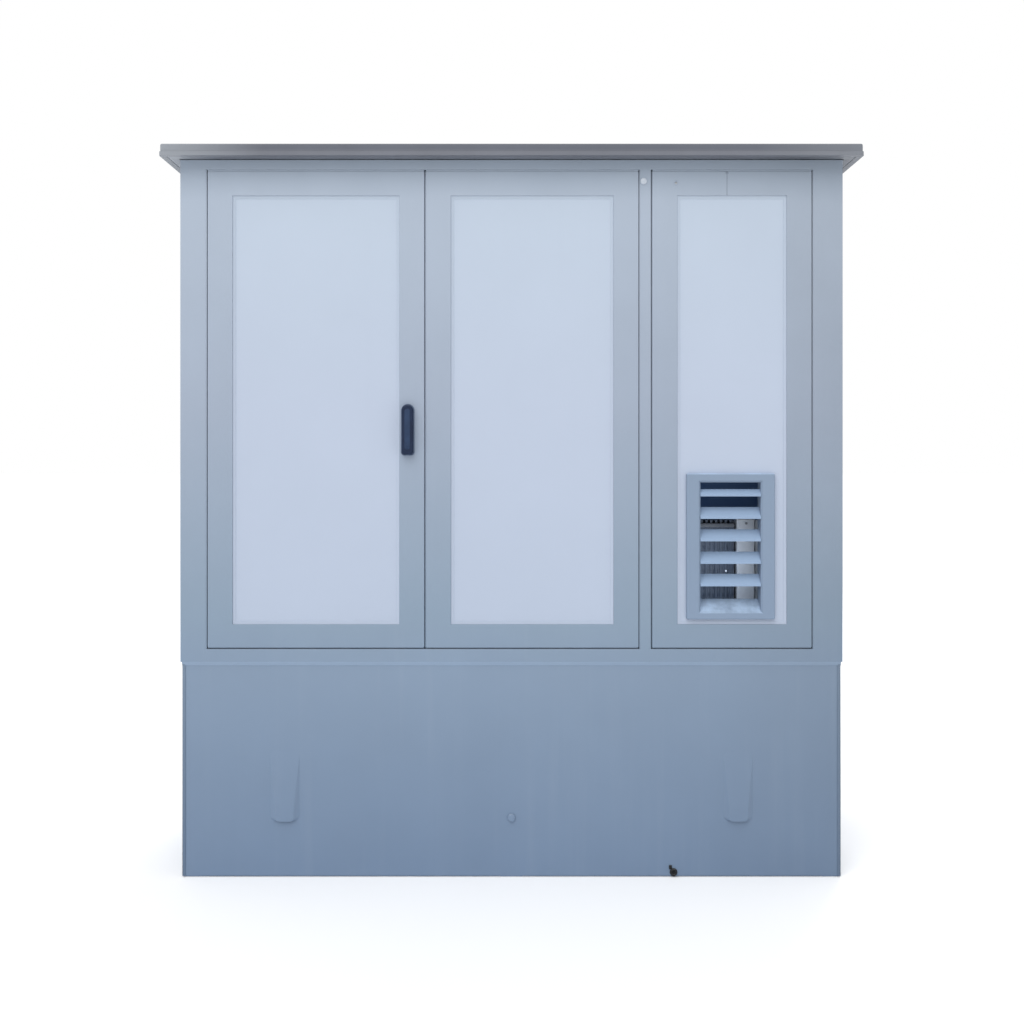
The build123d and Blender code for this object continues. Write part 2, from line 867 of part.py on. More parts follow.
def handle_lever():
    lever = slab(handle_outline(lever_margin), lever_back - lever_thickness, lever_thickness)
    lever = fillet(front_edges(lever), lever_round)
    half_slot = lug_width / 2 + seat_gap
    slot_front = lever_pin_y - lug_radius - seat_gap
    lever -= span(
        handle_x - half_slot,
        handle_x + half_slot,
        slot_front,
        lever_back,
        handle_z - lug_slot_reach,
        handle_z + lug_slot_reach,
    )
    relief = Box(2 * handle_width, handle_width, 2 * handle_width)
    relief = Pos(0, lever_pin_setback + handle_width / 2, handle_width - lever_pin_setback) * relief
    tilt = lever_tilt_max + lever_tilt_spare
    lever -= Pos(handle_x, lever_pin_y, handle_z) * Rot(tilt, 0, 0) * relief
    heel = span(
        handle_x - handle_width,
        handle_x + handle_width,
        lever_pin_y,
        lever_back,
        handle_z,
        handle_z + lever_pin_setback * math.sin(math.radians(tilt)),
    )
    lever -= heel - across_lever(lever_pin_setback, 2 * handle_width)
    return lever - across_lever(lever_pin_radius + running_gap, 2 * handle_width)


def pinion():
    """A spur gear about the spindle, one tooth pointing to each rod at rest."""
    corners = []
    for tooth in range(gear_teeth):
        centre = tooth * 2 * math.pi / gear_teeth
        for radius, sign in (
            (pitch_radius - gear_dedendum, -1),
            (pitch_radius + gear_addendum, -1),
            (pitch_radius + gear_addendum, 1),
            (pitch_radius - gear_dedendum, 1),
        ):
            half = tooth_half - (radius - pitch_radius) * flank_slope
            angle = centre + sign * half / radius
            corners.append((radius * math.cos(angle), radius * math.sin(angle)))
    outline = Pos(handle_x, handle_z) * Polygon(*corners, align=None)
    return slab(outline, (rod_front + rod_back - pinion_width) / 2, pinion_width)


def handle_spindle():
    disc = rod_along_y(handle_x, handle_z, rotor_radius, base_front, handle_base_thickness - seat_gap)
    shaft = rod_along_y(handle_x, handle_z, spindle_radius, base_front, cavity_front + seat_gap - base_front)
    journal = rod_along_y(handle_x, handle_z, journal_radius, cavity_front, gearbox_back - cavity_front)
    lug = span(
        handle_x - lug_width / 2,
        handle_x + lug_width / 2,
        lever_pin_y,
        base_front,
        handle_z - lug_radius,
        handle_z + lug_radius,
    )
    lug += across_lever(lug_radius, lug_width)
    return disc + shaft + journal + pinion() + lug - across_lever(lever_pin_radius + running_gap, lug_width)


def lock_gearbox():
    box = span(
        handle_x - cavity_half - gearbox_wall,
        handle_x + cavity_half + gearbox_wall,
        gearbox_front,
        gearbox_back,
        handle_z - gearbox_half_height,
        handle_z + gearbox_half_height,
    )
    box -= span(
        handle_x - cavity_half,
        handle_x + cavity_half,
        cavity_front,
        cavity_back,
        handle_z - gearbox_half_height,
        handle_z + gearbox_half_height,
    )
    neck = Pos(handle_x, handle_z) * Rectangle(gearbox_neck_width, gearbox_neck_height)
    box += slab(neck, door_back, gearbox_front - door_back)
    box -= rod_along_y(handle_x, handle_z, spindle_radius + running_gap, door_back, cavity_front - door_back)
    return box - rod_along_y(handle_x, handle_z, journal_radius + running_gap, cavity_back, gearbox_back_wall)


def lock_rod(hand, z_tip):
    """A flat rod on one side of the pinion, toothed along the stretch that meets it."""
    upward = 1 if z_tip > handle_z else -1
    z0, z1 = sorted((handle_z - upward * rack_half_length, z_tip))
    x0, x1 = sorted((handle_x + hand * rod_inner, handle_x + hand * rod_outer))
    rod = span(x0, x1, rod_front, rod_back, z0, z1)
    root = tooth_half + gear_dedendum * flank_slope
    tip = tooth_half - gear_addendum * flank_slope
    crest = rod_inner - gear_dedendum - gear_addendum
    corners = ((rod_inner, -root), (crest, -tip), (crest, tip), (rod_inner, root))
    tooth = Polygon(*[(hand * x, z) for x, z in corners], align=None)
    teeth = int(rack_half_length / tooth_pitch)
    for i in range(-teeth, teeth):
        place = Pos(handle_x, handle_z + (i + 1 / 2) * tooth_pitch)
        rod += slab(place * tooth, rod_front, rod_depth)
    return rod


def rod_guide(hand, z):
    """A bracket from the door's face that holds a rod in a slot."""
    z0 = z - guide_height / 2
    z1 = z + guide_height / 2
    reach = hand * (rod_outer + guide_wall)
    foot = hand * gearbox_neck_width / 2
    x0, x1 = sorted((handle_x, handle_x + reach))
    f0, f1 = sorted((handle_x, handle_x + foot))
    s0, s1 = sorted((handle_x + hand * (rod_inner - seat_gap), handle_x + hand * (rod_outer + seat_gap)))
    bracket = span(x0, x1, gearbox_front, rod_back + guide_wall, z0, z1)
    bracket += span(f0, f1, door_back, gearbox_front, z0, z1)
    return bracket - span(s0, s1, rod_front - seat_gap, rod_back + seat_gap, z0, z1)


guide_top = left_door.top - guide_end_distance
guide_bottom = left_door.bottom + guide_end_distance
guides = [rod_guide(1, z) for z in (guide_top, guide_top - guide_spacing)]
guides += [rod_guide(-1, z) for z in (guide_bottom, guide_bottom + guide_spacing)]
nodes["left_door_frame"] -= rod_along_y(handle_x, handle_z, spindle_radius + spindle_hole_gap, front, sheet)
nodes["handle_base"] = handle_base()
nodes["handle_lever"] = handle_lever()
nodes["handle_pin"] = across_lever(lever_pin_radius, handle_width - 2 * lever_margin - 2 * lever_pin_end_gap)
nodes["handle_spindle"] = handle_spindle()
nodes["lock_gearbox"] = lock_gearbox()
nodes["upper_lock_rod"] = lock_rod(1, upper_rod_tip)
nodes["lower_lock_rod"] = lock_rod(-1, lower_rod_tip)
nodes["rod_guides"] = Compound(children=guides)


# Slide bolts of the middle door
def slide_bolt(z_tip, upward):
    z_end = z_tip - upward * bolt_length
    z0, z1 = sorted((z_tip, z_end))
    tab_end = z_end + upward * bolt_tab_end_gap
    t0, t1 = sorted((tab_end, tab_end + upward * bolt_tab_height))
    half = bolt_width / 2
    bar = span(bolt_x - half, bolt_x + half, bolt_front, bolt_back, z0, z1)
    return bar + span(bolt_x - half, bolt_x + half, bolt_back, bolt_back + bolt_tab_depth, t0, t1)


def bolt_bracket(z_tip, upward):
    near = z_tip - upward * bolt_bracket_tip_distance
    z0, z1 = sorted((near, near - upward * bolt_bracket_height))
    half = bolt_width / 2 + seat_gap
    outer = half + bolt_bracket_wall
    bracket = span(bolt_x - outer, bolt_x + outer, door_back, bolt_back + bolt_bracket_wall, z0, z1)
    return bracket - span(bolt_x - half, bolt_x + half, bolt_front - seat_gap, bolt_back + seat_gap, z0, z1)


nodes["upper_slide_bolt"] = slide_bolt(upper_rod_tip, 1)
nodes["lower_slide_bolt"] = slide_bolt(lower_rod_tip, -1)
nodes["bolt_brackets"] = Compound(children=[bolt_bracket(upper_rod_tip, 1), bolt_bracket(lower_rod_tip, -1)])


# Cam lock of the right door
lock_x = right_door.left + lock_edge_distance
lock_z = right_door.top - lock_top_distance
sleeve_end = front + lock_sleeve_length
cam_front = sleeve_end + cam_gap


def lock_sleeve():
    sleeve = rod_along_y(lock_x, lock_z, lock_radius, front - lock_proud, lock_sleeve_length + lock_proud)
    sleeve += rod_along_y(lock_x, lock_z, lock_collar_radius, door_back, lock_collar_length)
    return sleeve - rod_along_y(
        lock_x, lock_z, lock_shaft_radius + running_gap, front - lock_proud, lock_sleeve_length + lock_proud
    )


def lock_cam():
    """The turning core with its cam hanging down, clear of the frame."""
    key_face = front + lock_key_recess
    shaft = rod_along_y(lock_x, lock_z, lock_shaft_radius, key_face, cam_front - key_face)
    arm = Pos(0, -cam_length / 2) * Rectangle(cam_width, cam_length) + Circle(cam_width / 2)
    return shaft + slab(Pos(lock_x, lock_z) * arm, cam_front, cam_thickness)


nodes["right_door_frame"] -= rod_along_y(lock_x, lock_z, lock_radius + running_gap, front, sheet)
nodes["cam_lock_sleeve"] = lock_sleeve()
nodes["cam_lock_cam"] = lock_cam()


# Louvre of the right door
right_infill = infill_area(right_door)
louvre_left = right_infill.left + louvre_left_margin
louvre_bottom = right_infill.bottom + louvre_bottom_margin
louvre = Area(louvre_left, louvre_left + louvre_width, louvre_bottom, louvre_bottom + louvre_height)
louvre_side = (louvre_width - louvre_opening_width) / 2
louvre_mouth = louvre.inset(louvre_side, louvre_side, louvre_bottom_border, louvre_top_border)
tunnel_hole = louvre_mouth.grown(tunnel_wall)
louvre_front = panel_face - louvre_proud
tunnel_back = panel_face + tunnel_depth


def louvre_frame():
    bezel = slab(louvre.rounded(louvre_corner), louvre_front, louvre_proud)
    bezel = fillet(front_edges(bezel), louvre_edge_radius)
    bezel += slab(tunnel_hole.sketch(), panel_face, tunnel_depth)
    bezel -= slab(louvre_mouth.sketch(), louvre_front, tunnel_back - louvre_front)
    bezel = chamfer(edges_within(front_edges(bezel), tunnel_hole), louvre_mouth_bevel)
    sill = Polygon(
        (louvre_front + louvre_mouth_bevel, louvre_mouth.bottom),
        (tunnel_back, louvre_mouth.bottom),
        (tunnel_back, louvre_mouth.bottom + sill_rise),
        align=None,
    )
    return bezel + prism(sill, louvre_mouth.left, louvre_opening_width)


def louvre_blade(z, share):
    """A sheet that rises from a short front lip at height z over a share of the full run."""
    y0 = louvre_front + blade_setback
    y1 = y0 + share * blade_run
    top = z + blade_lip + share * blade_rise
    profile = Polygon(
        (y0, z),
        (y0 + blade_sheet, z),
        (y0 + blade_sheet, z + blade_lip - blade_sheet / 2),
        (y1, top - blade_sheet),
        (y1, top),
        (y0, z + blade_lip),
        align=None,
    )
    return prism(profile, louvre_mouth.left, louvre_opening_width)


first_blade = louvre_mouth.top - blade_first_drop
blades = [louvre_blade(first_blade, first_blade_share)]
blades += [louvre_blade(first_blade - i * blade_pitch, 1) for i in range(1, blade_count)]
nodes["right_door_panel"] -= slab(tunnel_hole.sketch(), panel_face, panel_sheet)
nodes["louvre_frame"] = louvre_frame()
nodes["louvre_blades"] = Compound(children=blades)


# Left bay
rack_x = (left_door.left + left_door.right) / 2 + rack_centre_shift
rack_front = front + rack_setback
rack_back = rack_front + rack_depth


def rack_upright(hand, y, inward):
    """An angle from floor to ceiling, its flange facing the front or the back."""
    inner = rack_x + hand * rack_opening / 2
    outer = inner + hand * rack_angle
    f0, f1 = sorted((inner, outer))
    w0, w1 = sorted((outer, outer - hand * sheet))
    flange_y = sorted((y, y + inward * sheet))
    web_y = sorted((y, y + inward * rack_angle))
    flange = span(f0, f1, *flange_y, floor_top, ceiling_bottom)
    return flange + span(w0, w1, *web_y, floor_top, ceiling_bottom)


def rack_unit(level, slots):
    height = rack_unit_height * slots
    z0 = body_bottom + level
    z1 = z0 + height
    ear_half = unit_ear_width / 2
    body_half = unit_body_width / 2
    ears = span(rack_x - ear_half, rack_x + ear_half, rack_front - unit_ear_thickness, rack_front, z0, z1)
    return ears + span(
        rack_x - body_half,
        rack_x + body_half,
        rack_front,
        rack_front + unit_body_depth,
        z0 + unit_body_margin,
        z1 - unit_body_margin,
    )


uprights = [rack_upright(hand, rack_front, 1) for hand in (-1, 1)]
uprights += [rack_upright(hand, rack_back, -1) for hand in (-1, 1)]
nodes["rack_uprights"] = Compound(children=uprights)
units = [
    rack_unit(low_unit_level, low_unit_slots),
    rack_unit(middle_unit_level, middle_unit_slots),
    rack_unit(high_unit_level, high_unit_slots),
]
nodes["rack_units"] = Compound(children=units)


# Middle bay
plate_x = (middle_door.left + middle_door.right) / 2
plate_half = rail_width / 2 + rail_end_gap + duct_width
plate_front = back_face - plate_foot - plate_sheet
plate_z0 = body_bottom + plate_bottom
plate_z1 = plate_z0 + plate_height
rail_front = plate_front - rail_rise


def mounting_plate():
    """A tray whose long edges fold back to the rear sheet."""
    half = plate_half
    plate = span(plate_x - half, plate_x + half, plate_front, back_face, plate_z0, plate_z1)
    hollow_front = plate_front + plate_sheet
    inner = half - plate_sheet
    return plate - span(plate_x - inner, plate_x + inner, hollow_front, back_face, plate_z0, plate_z1)


def top_hat_rail(z):
    crown = rail_height / 2 - rail_lip
    section = Polygon(
        (plate_front, -rail_height / 2),
        (plate_front, -crown),
        (rail_front + rail_sheet, -crown),
        (rail_front + rail_sheet, crown),
        (plate_front, crown),
        (plate_front, rail_height / 2),
        (plate_front - rail_sheet, rail_height / 2),
        (plate_front - rail_sheet, crown + rail_sheet),
        (rail_front, crown + rail_sheet),
        (rail_front, -crown - rail_sheet),
        (plate_front - rail_sheet, -crown - rail_sheet),
        (plate_front - rail_sheet, -rail_height / 2),
        align=None,
    )
    return prism(Pos(0, z) * section, plate_x - rail_width / 2, rail_width)


def terminal_block(x, z):
    """One stepped terminal clipped on a rail."""
    half = terminal_height / 2
    section = Polygon(
        (rail_front, -half),
        (rail_front, half),
        (rail_front - terminal_depth + terminal_step, half),
        (rail_front - terminal_depth, half - terminal_step),
        (rail_front - terminal_depth, terminal_step - half),
        (rail_front - terminal_depth + terminal_step, -half),
        align=None,
    )
    return prism(Pos(0, z) * section, x, terminal_width)


terminal_rail = body_bottom + terminal_rail_level
breaker_rail = body_bottom + breaker_rail_level
breaker_face = rail_front - breaker_depth
breaker_nose = breaker_face - breaker_nose_depth


def toggle_barrel(radius, width):
    return Pos(plate_x, breaker_nose, breaker_rail) * Rot(0, 90, 0) * Cylinder(radius, width)


def main_breaker():
    left = plate_x - breaker_width / 2
    right = plate_x + breaker_width / 2
    half = breaker_height / 2
    nose = breaker_nose_height / 2
    body = span(left, right, breaker_face, rail_front, breaker_rail - half, breaker_rail + half)
    body += span(left, right, breaker_nose, breaker_face, breaker_rail - nose, breaker_rail + nose)
    return body - toggle_barrel(toggle_radius + seat_gap, toggle_width + 2 * seat_gap)


def breaker_toggle():
    """A barrel in the breaker's nose with a flat grip, switched up."""
    half = toggle_width / 2
    edge = toggle_thickness / 2
    grip = Rot(-toggle_rest_angle, 0, 0) * span(-half, half, -toggle_radius - toggle_reach, 0, -edge, edge)
    return toggle_barrel(toggle_radius, toggle_width) + Pos(plate_x, breaker_nose, breaker_rail) * grip


def cable_duct(hand):
    """A slotted wiring channel, open at the front."""
    outer = plate_x + hand * plate_half
    x0, x1 = sorted((outer, outer - hand * duct_width))
    y0 = plate_front - duct_depth
    z0 = plate_z0 + duct_end_margin
    z1 = plate_z1 - duct_end_margin
    duct = span(x0, x1, y0, plate_front, z0, z1)
    duct -= span(x0 + duct_wall, x1 - duct_wall, y0, plate_front - duct_wall, z0, z1)
    count = int((z1 - z0) / duct_slot_pitch)
    for i in range(count):
        z = z0 + (i + 1 / 2) * duct_slot_pitch
        duct -= span(x0, x1, y0, y0 + duct_slot_depth, z - duct_slot / 2, z + duct_slot / 2)
    return duct


def earth_bar():
    half = earth_bar_width / 2
    z = plate_z0 + earth_bar_level
    y0 = plate_front - earth_foot_depth - earth_bar_thickness
    bar = span(plate_x - half, plate_x + half, y0, y0 + earth_bar_thickness, z, z + earth_bar_height)
    for x in (plate_x - half, plate_x + half - earth_foot_width):
        bar += span(x, x + earth_foot_width, y0 + earth_bar_thickness, plate_front, z, z + earth_bar_height)
    return bar


terminal_start = plate_x - terminal_count * terminal_width / 2
terminal_places = [terminal_start + i * terminal_width for i in range(terminal_count)]
terminals = [terminal_block(x, terminal_rail) for x in terminal_places]
nodes["mounting_plate"] = mounting_plate()
nodes["mounting_rails"] = Compound(children=[top_hat_rail(z) for z in (terminal_rail, breaker_rail)])
nodes["terminal_blocks"] = Compound(children=terminals)
nodes["main_breaker"] = main_breaker()
nodes["breaker_toggle"] = breaker_toggle()
nodes["cable_ducts"] = Compound(children=[cable_duct(hand) for hand in (-1, 1)])
nodes["earth_bar"] = earth_bar()


# Right bay
shelf_top = body_bottom + shelf_height
shelf_front = front + shelf_setback
unit_front = front + unit_setback
fin_stretch = (fin_count - 1) * fin_pitch + fin_width
finned_left = partition_x + sheet / 2 + finned_side_gap
finned_right = finned_left + finned_width
first_fin = (finned_left + finned_right - fin_stretch) / 2


def unit_shelf():
    left = partition_x + sheet / 2
    right = side - sheet
    shelf = span(left, right, shelf_front, back_face, shelf_top - sheet, shelf_top)
    return shelf + span(left, right, shelf_front, shelf_front + sheet, shelf_top - shelf_lip, shelf_top)


def finned_unit():
    """A power unit with upright cooling fins across its front."""
    body_front = unit_front + fin_depth
    top = shelf_top + finned_height
    body = span(finned_left, finned_right, body_front, body_front + finned_depth, shelf_top, top)
    for i in range(fin_count):
        x = first_fin + i * fin_pitch
        body += span(x, x + fin_width, unit_front, body_front, shelf_top, top)
    return body


white_left = finned_right + white_box_gap
white_box = Area(white_left, white_left + white_box_width, shelf_top, shelf_top + white_box_height)
white_body = slab(white_box.sketch(), unit_front, white_box_depth)
lamp_x = first_fin + lamp_fin * fin_pitch + fin_width / 2
lamp_z = shelf_top + lamp_level
nodes["unit_shelf"] = unit_shelf()
nodes["finned_power_unit"] = finned_unit()
nodes["white_service_box"] = fillet(front_edges(white_body), white_box_corner)
nodes["signal_lamp"] = rod_along_y(lamp_x, lamp_z, lamp_radius, unit_front - lamp_rise, lamp_rise)

os.makedirs("parts", exist_ok=True)
for name, solid in nodes.items():
    export_step(solid, f"parts/{name}.step")
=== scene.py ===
import math
import bmesh
import bpy
from mathutils import Matrix, Vector


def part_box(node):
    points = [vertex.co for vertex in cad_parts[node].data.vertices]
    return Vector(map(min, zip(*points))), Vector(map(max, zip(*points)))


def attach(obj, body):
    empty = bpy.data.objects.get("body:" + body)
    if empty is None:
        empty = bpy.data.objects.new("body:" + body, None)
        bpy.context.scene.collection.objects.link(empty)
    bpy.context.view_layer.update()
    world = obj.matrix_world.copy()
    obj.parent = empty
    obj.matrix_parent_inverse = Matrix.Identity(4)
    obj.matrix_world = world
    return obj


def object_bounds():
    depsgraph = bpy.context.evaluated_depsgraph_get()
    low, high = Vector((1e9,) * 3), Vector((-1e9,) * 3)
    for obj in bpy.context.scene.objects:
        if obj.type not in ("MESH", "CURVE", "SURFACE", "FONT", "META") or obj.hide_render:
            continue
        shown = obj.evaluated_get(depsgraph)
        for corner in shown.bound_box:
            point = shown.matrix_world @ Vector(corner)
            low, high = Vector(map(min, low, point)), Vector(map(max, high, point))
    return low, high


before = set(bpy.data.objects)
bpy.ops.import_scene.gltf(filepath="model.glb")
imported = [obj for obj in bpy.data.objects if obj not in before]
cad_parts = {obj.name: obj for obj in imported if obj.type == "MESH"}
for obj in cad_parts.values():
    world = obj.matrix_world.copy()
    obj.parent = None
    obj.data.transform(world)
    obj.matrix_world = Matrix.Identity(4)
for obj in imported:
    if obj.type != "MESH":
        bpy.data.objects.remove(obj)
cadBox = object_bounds()
print("frame loaded:", len(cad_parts), "nodes")


# camera: level, straight in front of the doors
cameraSettings = {
    "place": (0.0, -3.35, 1.15), "pitch": 90, "lens": 39.47, "sensor": 36.0, "shift": (0.0005, -0.0566),
    "farthest": 200.0,
}

cameraData = bpy.data.cameras.new("photoCamera")
cameraData.sensor_width = cameraSettings["sensor"]
cameraData.lens = cameraSettings["lens"]
cameraData.shift_x, cameraData.shift_y = cameraSettings["shift"]
cameraData.clip_end = cameraSettings["farthest"]
camera = bpy.data.objects.new("photoCamera", cameraData)
camera.location = cameraSettings["place"]
camera.rotation_euler = (math.radians(cameraSettings["pitch"]), 0, 0)
bpy.context.scene.collection.objects.link(camera)
bpy.context.scene.camera = camera
bpy.context.scene.view_settings.view_transform = "Standard"
print("camera set")


# sky: white to the camera, softer as light
skySettings = {"seen": (1.0, 1.0, 1.0, 1.0), "light": 0.76, "tint": (0.98, 0.99, 1.0, 1.0)}

world = bpy.data.worlds.new("paleStudio")
bpy.context.scene.world = world
world.use_nodes = True
sky = world.node_tree
sky.nodes.clear()
skyOut = sky.nodes.new("ShaderNodeOutputWorld")
skyMix = sky.nodes.new("ShaderNodeMixShader")
skyPath = sky.nodes.new("ShaderNodeLightPath")
skyLight = sky.nodes.new("ShaderNodeBackground")
skySeen = sky.nodes.new("ShaderNodeBackground")
skyLight.inputs["Color"].default_value = skySettings["tint"]
skyLight.inputs["Strength"].default_value = skySettings["light"]
skySeen.inputs["Color"].default_value = skySettings["seen"]
sky.links.new(skyPath.outputs["Is Camera Ray"], skyMix.inputs[0])
sky.links.new(skyLight.outputs[0], skyMix.inputs[1])
sky.links.new(skySeen.outputs[0], skyMix.inputs[2])
sky.links.new(skyMix.outputs[0], skyOut.inputs["Surface"])


# lights: a wide soft sun from the upper left, a box behind and two small lamps in the louvred bay
sunSettings = {"place": (-1.5, -4.0, 5.0), "aim": (0.24, 0.54, -0.81), "power": 1.7, "spread": 1.0}
boxSettings = {
    "backBox": {
        "place": (1.6, 4.6, 3.8), "aim": (0, 0.3, 1.0), "size": (4.0, 2.4), "power": 150, "tint": (1, 1, 1),
    },
    "bayBox": {
        "place": (0.55, -0.25, 0.82), "aim": (0.57, -0.10, 0.83), "size": (0.20, 0.24), "power": 0.23,
        "tint": (0.68, 0.8, 1),
    },
    "bayGlow": {
        "place": (0.60, -0.06, 1.08), "aim": (0.60, 0.29, 1.0), "size": (0.30, 0.10), "power": 0.15,
        "tint": (0.25, 0.48, 1),
    },
}


def addLight(name, kind, place, aim, power):
    lightData = bpy.data.lights.new(name, kind)
    lightData.energy = power
    light = bpy.data.objects.new(name, lightData)
    light.location = place
    light.rotation_euler = Vector(aim).to_track_quat("-Z", "Y").to_euler()
    light.visible_camera = False
    bpy.context.scene.collection.objects.link(light)
    return lightData


sunData = addLight("softSun", "SUN", sunSettings["place"], sunSettings["aim"], sunSettings["power"])
sunData.angle = sunSettings["spread"]
for name, box in boxSettings.items():
    toAim = Vector(box["aim"]) - Vector(box["place"])
    boxData = addLight(name, "AREA", box["place"], toAim, box["power"])
    boxData.shape = "RECTANGLE"
    boxData.size, boxData.size_y = box["size"]
    boxData.color = box["tint"]
print("lights set")


# screen colour to linear light, along the usual curve of a screen
screenCurve = {"full": 255, "straightTo": 10.31, "straightScale": 3294.6, "offset": 0.055, "power": 2.4}


def fromPhoto(r, g, b, gain=1.0):
    full, straightTo, straightScale, offset, power = screenCurve.values()
    linear = []
    for c in (r, g, b):
        curved = ((c / full + offset) / (1 + offset)) ** power
        linear.append(gain * (c / straightScale if c <= straightTo else curved))
    return (*linear, 1.0)


def newGroup(name, inputs, outputs):
    # a shared effect: its tree, what it is given and what it gives back
    group = bpy.data.node_groups.new(name, "ShaderNodeTree")
    for label, value in inputs.items():
        group.interface.new_socket(label, in_out="INPUT", socket_type="NodeSocketFloat").default_value = value
    for label in outputs:
        group.interface.new_socket(label, in_out="OUTPUT", socket_type="NodeSocketFloat")
    return group, group.nodes.new("NodeGroupInput").outputs, group.nodes.new("NodeGroupOutput").inputs


def addNode(tree, kind, **settings):
    node = tree.nodes.new("ShaderNode" + kind)
    for key, value in settings.items():
        setattr(node, key, value)
    return node


def feed(tree, socket, value):
    # a constant is set on the socket, an output is linked to it
    if isinstance(value, (int, float, tuple)):
        socket.default_value = value
    else:
        tree.links.new(value, socket)


def addMath(tree, operation, first, second=0.5):
    node = addNode(tree, "Math", operation=operation)
    feed(tree, node.inputs[0], first)
    feed(tree, node.inputs[1], second)
    return node.outputs[0]


def times(tree, first, second):
    return addMath(tree, "MULTIPLY", first, second)


def addMix(tree, factor, first, second, blend="MIX"):
    node = addNode(tree, "Mix", data_type="RGBA", blend_type=blend)
    colourSockets = (6, 7)
    feed(tree, node.inputs[0], factor)
    for place, value in zip(colourSockets, (first, second)):
        feed(tree, node.inputs[place], value)
    return node.outputs[2]


def stretched(tree, scale):
    # object coordinates, stretched so that a pattern runs along one way
    where = addNode(tree, "TexCoord")
    mapping = addNode(tree, "Mapping")
    mapping.inputs["Scale"].default_value = scale
    tree.links.new(where.outputs["Object"], mapping.inputs["Vector"])
    return mapping.outputs["Vector"]


def objectAxes(tree):
    # object coordinates, one output for each axis
    where = addNode(tree, "TexCoord")
    split = addNode(tree, "SeparateXYZ")
    tree.links.new(where.outputs["Object"], split.inputs[0])
    return split.outputs


def addNoise(tree, vector, scale, detail, rough):
    node = addNode(tree, "TexNoise")
    node.inputs["Detail"].default_value = detail
    node.inputs["Roughness"].default_value = rough
    feed(tree, node.inputs["Scale"], scale)
    tree.links.new(vector, node.inputs["Vector"])
    return node.outputs["Fac"]


def ranged(tree, value, low, high, outLow=0.0, outHigh=1.0):
    node = addNode(tree, "MapRange")
    parts = {"Value": value, "From Min": low, "From Max": high, "To Min": outLow, "To Max": outHigh}
    for label, part in parts.items():
        feed(tree, node.inputs[label], part)
    return node.outputs["Result"]


# shared effect: how high a point is between two levels
heightFade, given, result = newGroup("heightFade", {"Low": 0.0, "High": 2.0, "Ragged": 0.05}, ["Mask"])
noiseMiddle = 0.5
wander = addNoise(heightFade, stretched(heightFade, (1.6, 1.6, 0.7)), scale=2.4, detail=4.0, rough=0.55)
wander = times(heightFade, addMath(heightFade, "SUBTRACT", wander, noiseMiddle), given["Ragged"])
level = addMath(heightFade, "ADD", objectAxes(heightFade)["Z"], wander)
feed(heightFade, result["Mask"], ranged(heightFade, level, given["Low"], given["High"]))


# shared effect: mask for painted shade, from the middle towards the right-hand end, slowly at first
paintedRightShade, given, result = newGroup("paintedRightShade", {"From": 0.1, "To": 0.95}, ["Mask"])
sideCurve = 1.8
mask = ranged(paintedRightShade, objectAxes(paintedRightShade)["X"], given["From"], given["To"])
feed(paintedRightShade, result["Mask"], addMath(paintedRightShade, "POWER", mask, sideCurve))


# shared effect: both ends of a long piece
endFade, given, result = newGroup("endFade", {"From": 0.66, "To": 0.95}, ["Mask"])
reach = addMath(endFade, "ABSOLUTE", objectAxes(endFade)["X"])
feed(endFade, result["Mask"], ranged(endFade, reach, given["From"], given["To"]))


# shared effect: fine surface grain with slow cloudy patches
grainScales = {"Grain Scale": 900.0, "Patch Scale": 5.0}
surfaceGrain, given, result = newGroup("surfaceGrain", grainScales, ["Grain", "Patches"])
plain = stretched(surfaceGrain, (1, 1, 1))
grain = addNoise(surfaceGrain, plain, given["Grain Scale"], detail=2.0, rough=0.55)
patches = addNoise(surfaceGrain, plain, given["Patch Scale"], detail=4.0, rough=0.6)
feed(surfaceGrain, result["Grain"], grain)
feed(surfaceGrain, result["Patches"], patches)


# shared effect: narrow upright runs left by rain
rainRuns, given, result = newGroup("rainRuns", {"Spread": 26.0, "Share": 0.3}, ["Mask"])
upright, broad, strongest = (1, 1, 0.03), (1, 1, 0.35), 0.78
runs = addNoise(rainRuns, stretched(rainRuns, upright), given["Spread"], detail=3.0, rough=0.6)
broken = addNoise(rainRuns, stretched(rainRuns, broad), scale=7.0, detail=3.0, rough=0.5)
mask = ranged(rainRuns, runs, low=addMath(rainRuns, "SUBTRACT", strongest, given["Share"]), high=0.8)
feed(rainRuns, result["Mask"], times(rainRuns, mask, ranged(rainRuns, broken, low=0.35, high=0.7)))


# shared effect: faces turned upwards, for dust that lies on them and, in the louvre paint, for a painted
# highlight
upwardDustAndSheen, given, result = newGroup("upwardDustAndSheen", {"Cover": 0.5}, ["Mask"])
facing = addNode(upwardDustAndSheen, "SeparateXYZ")
feed(upwardDustAndSheen, facing.inputs[0], addNode(upwardDustAndSheen, "NewGeometry").outputs["Normal"])
upward = ranged(upwardDustAndSheen, facing.outputs["Z"], low=0.35, high=0.95)
cloud = addNoise(upwardDustAndSheen, stretched(upwardDustAndSheen, (1, 1, 1)), scale=14.0, detail=5.0, rough=0.65)
mask = times(upwardDustAndSheen, upward, ranged(upwardDustAndSheen, cloud, low=0.3, high=0.68))
feed(upwardDustAndSheen, result["Mask"], times(upwardDustAndSheen, mask, given["Cover"]))


# shared effect: long fine scratches of drawn or rolled metal
lineValues = {"Along X": 1.0, "Along Z": 0.02, "Scale": 700.0}
drawnLines, given, result = newGroup("drawnLines", lineValues, ["Lines"])
axes = objectAxes(drawnLines)
joined = addNode(drawnLines, "CombineXYZ")
feed(drawnLines, joined.inputs["X"], times(drawnLines, axes["X"], given["Along X"]))
feed(drawnLines, joined.inputs["Y"], axes["Y"])
feed(drawnLines, joined.inputs["Z"], times(drawnLines, axes["Z"], given["Along Z"]))
lines = addNoise(drawnLines, joined.outputs[0], given["Scale"], detail=2.0, rough=0.6)
feed(drawnLines, result["Lines"], lines)
print("shared effects made")


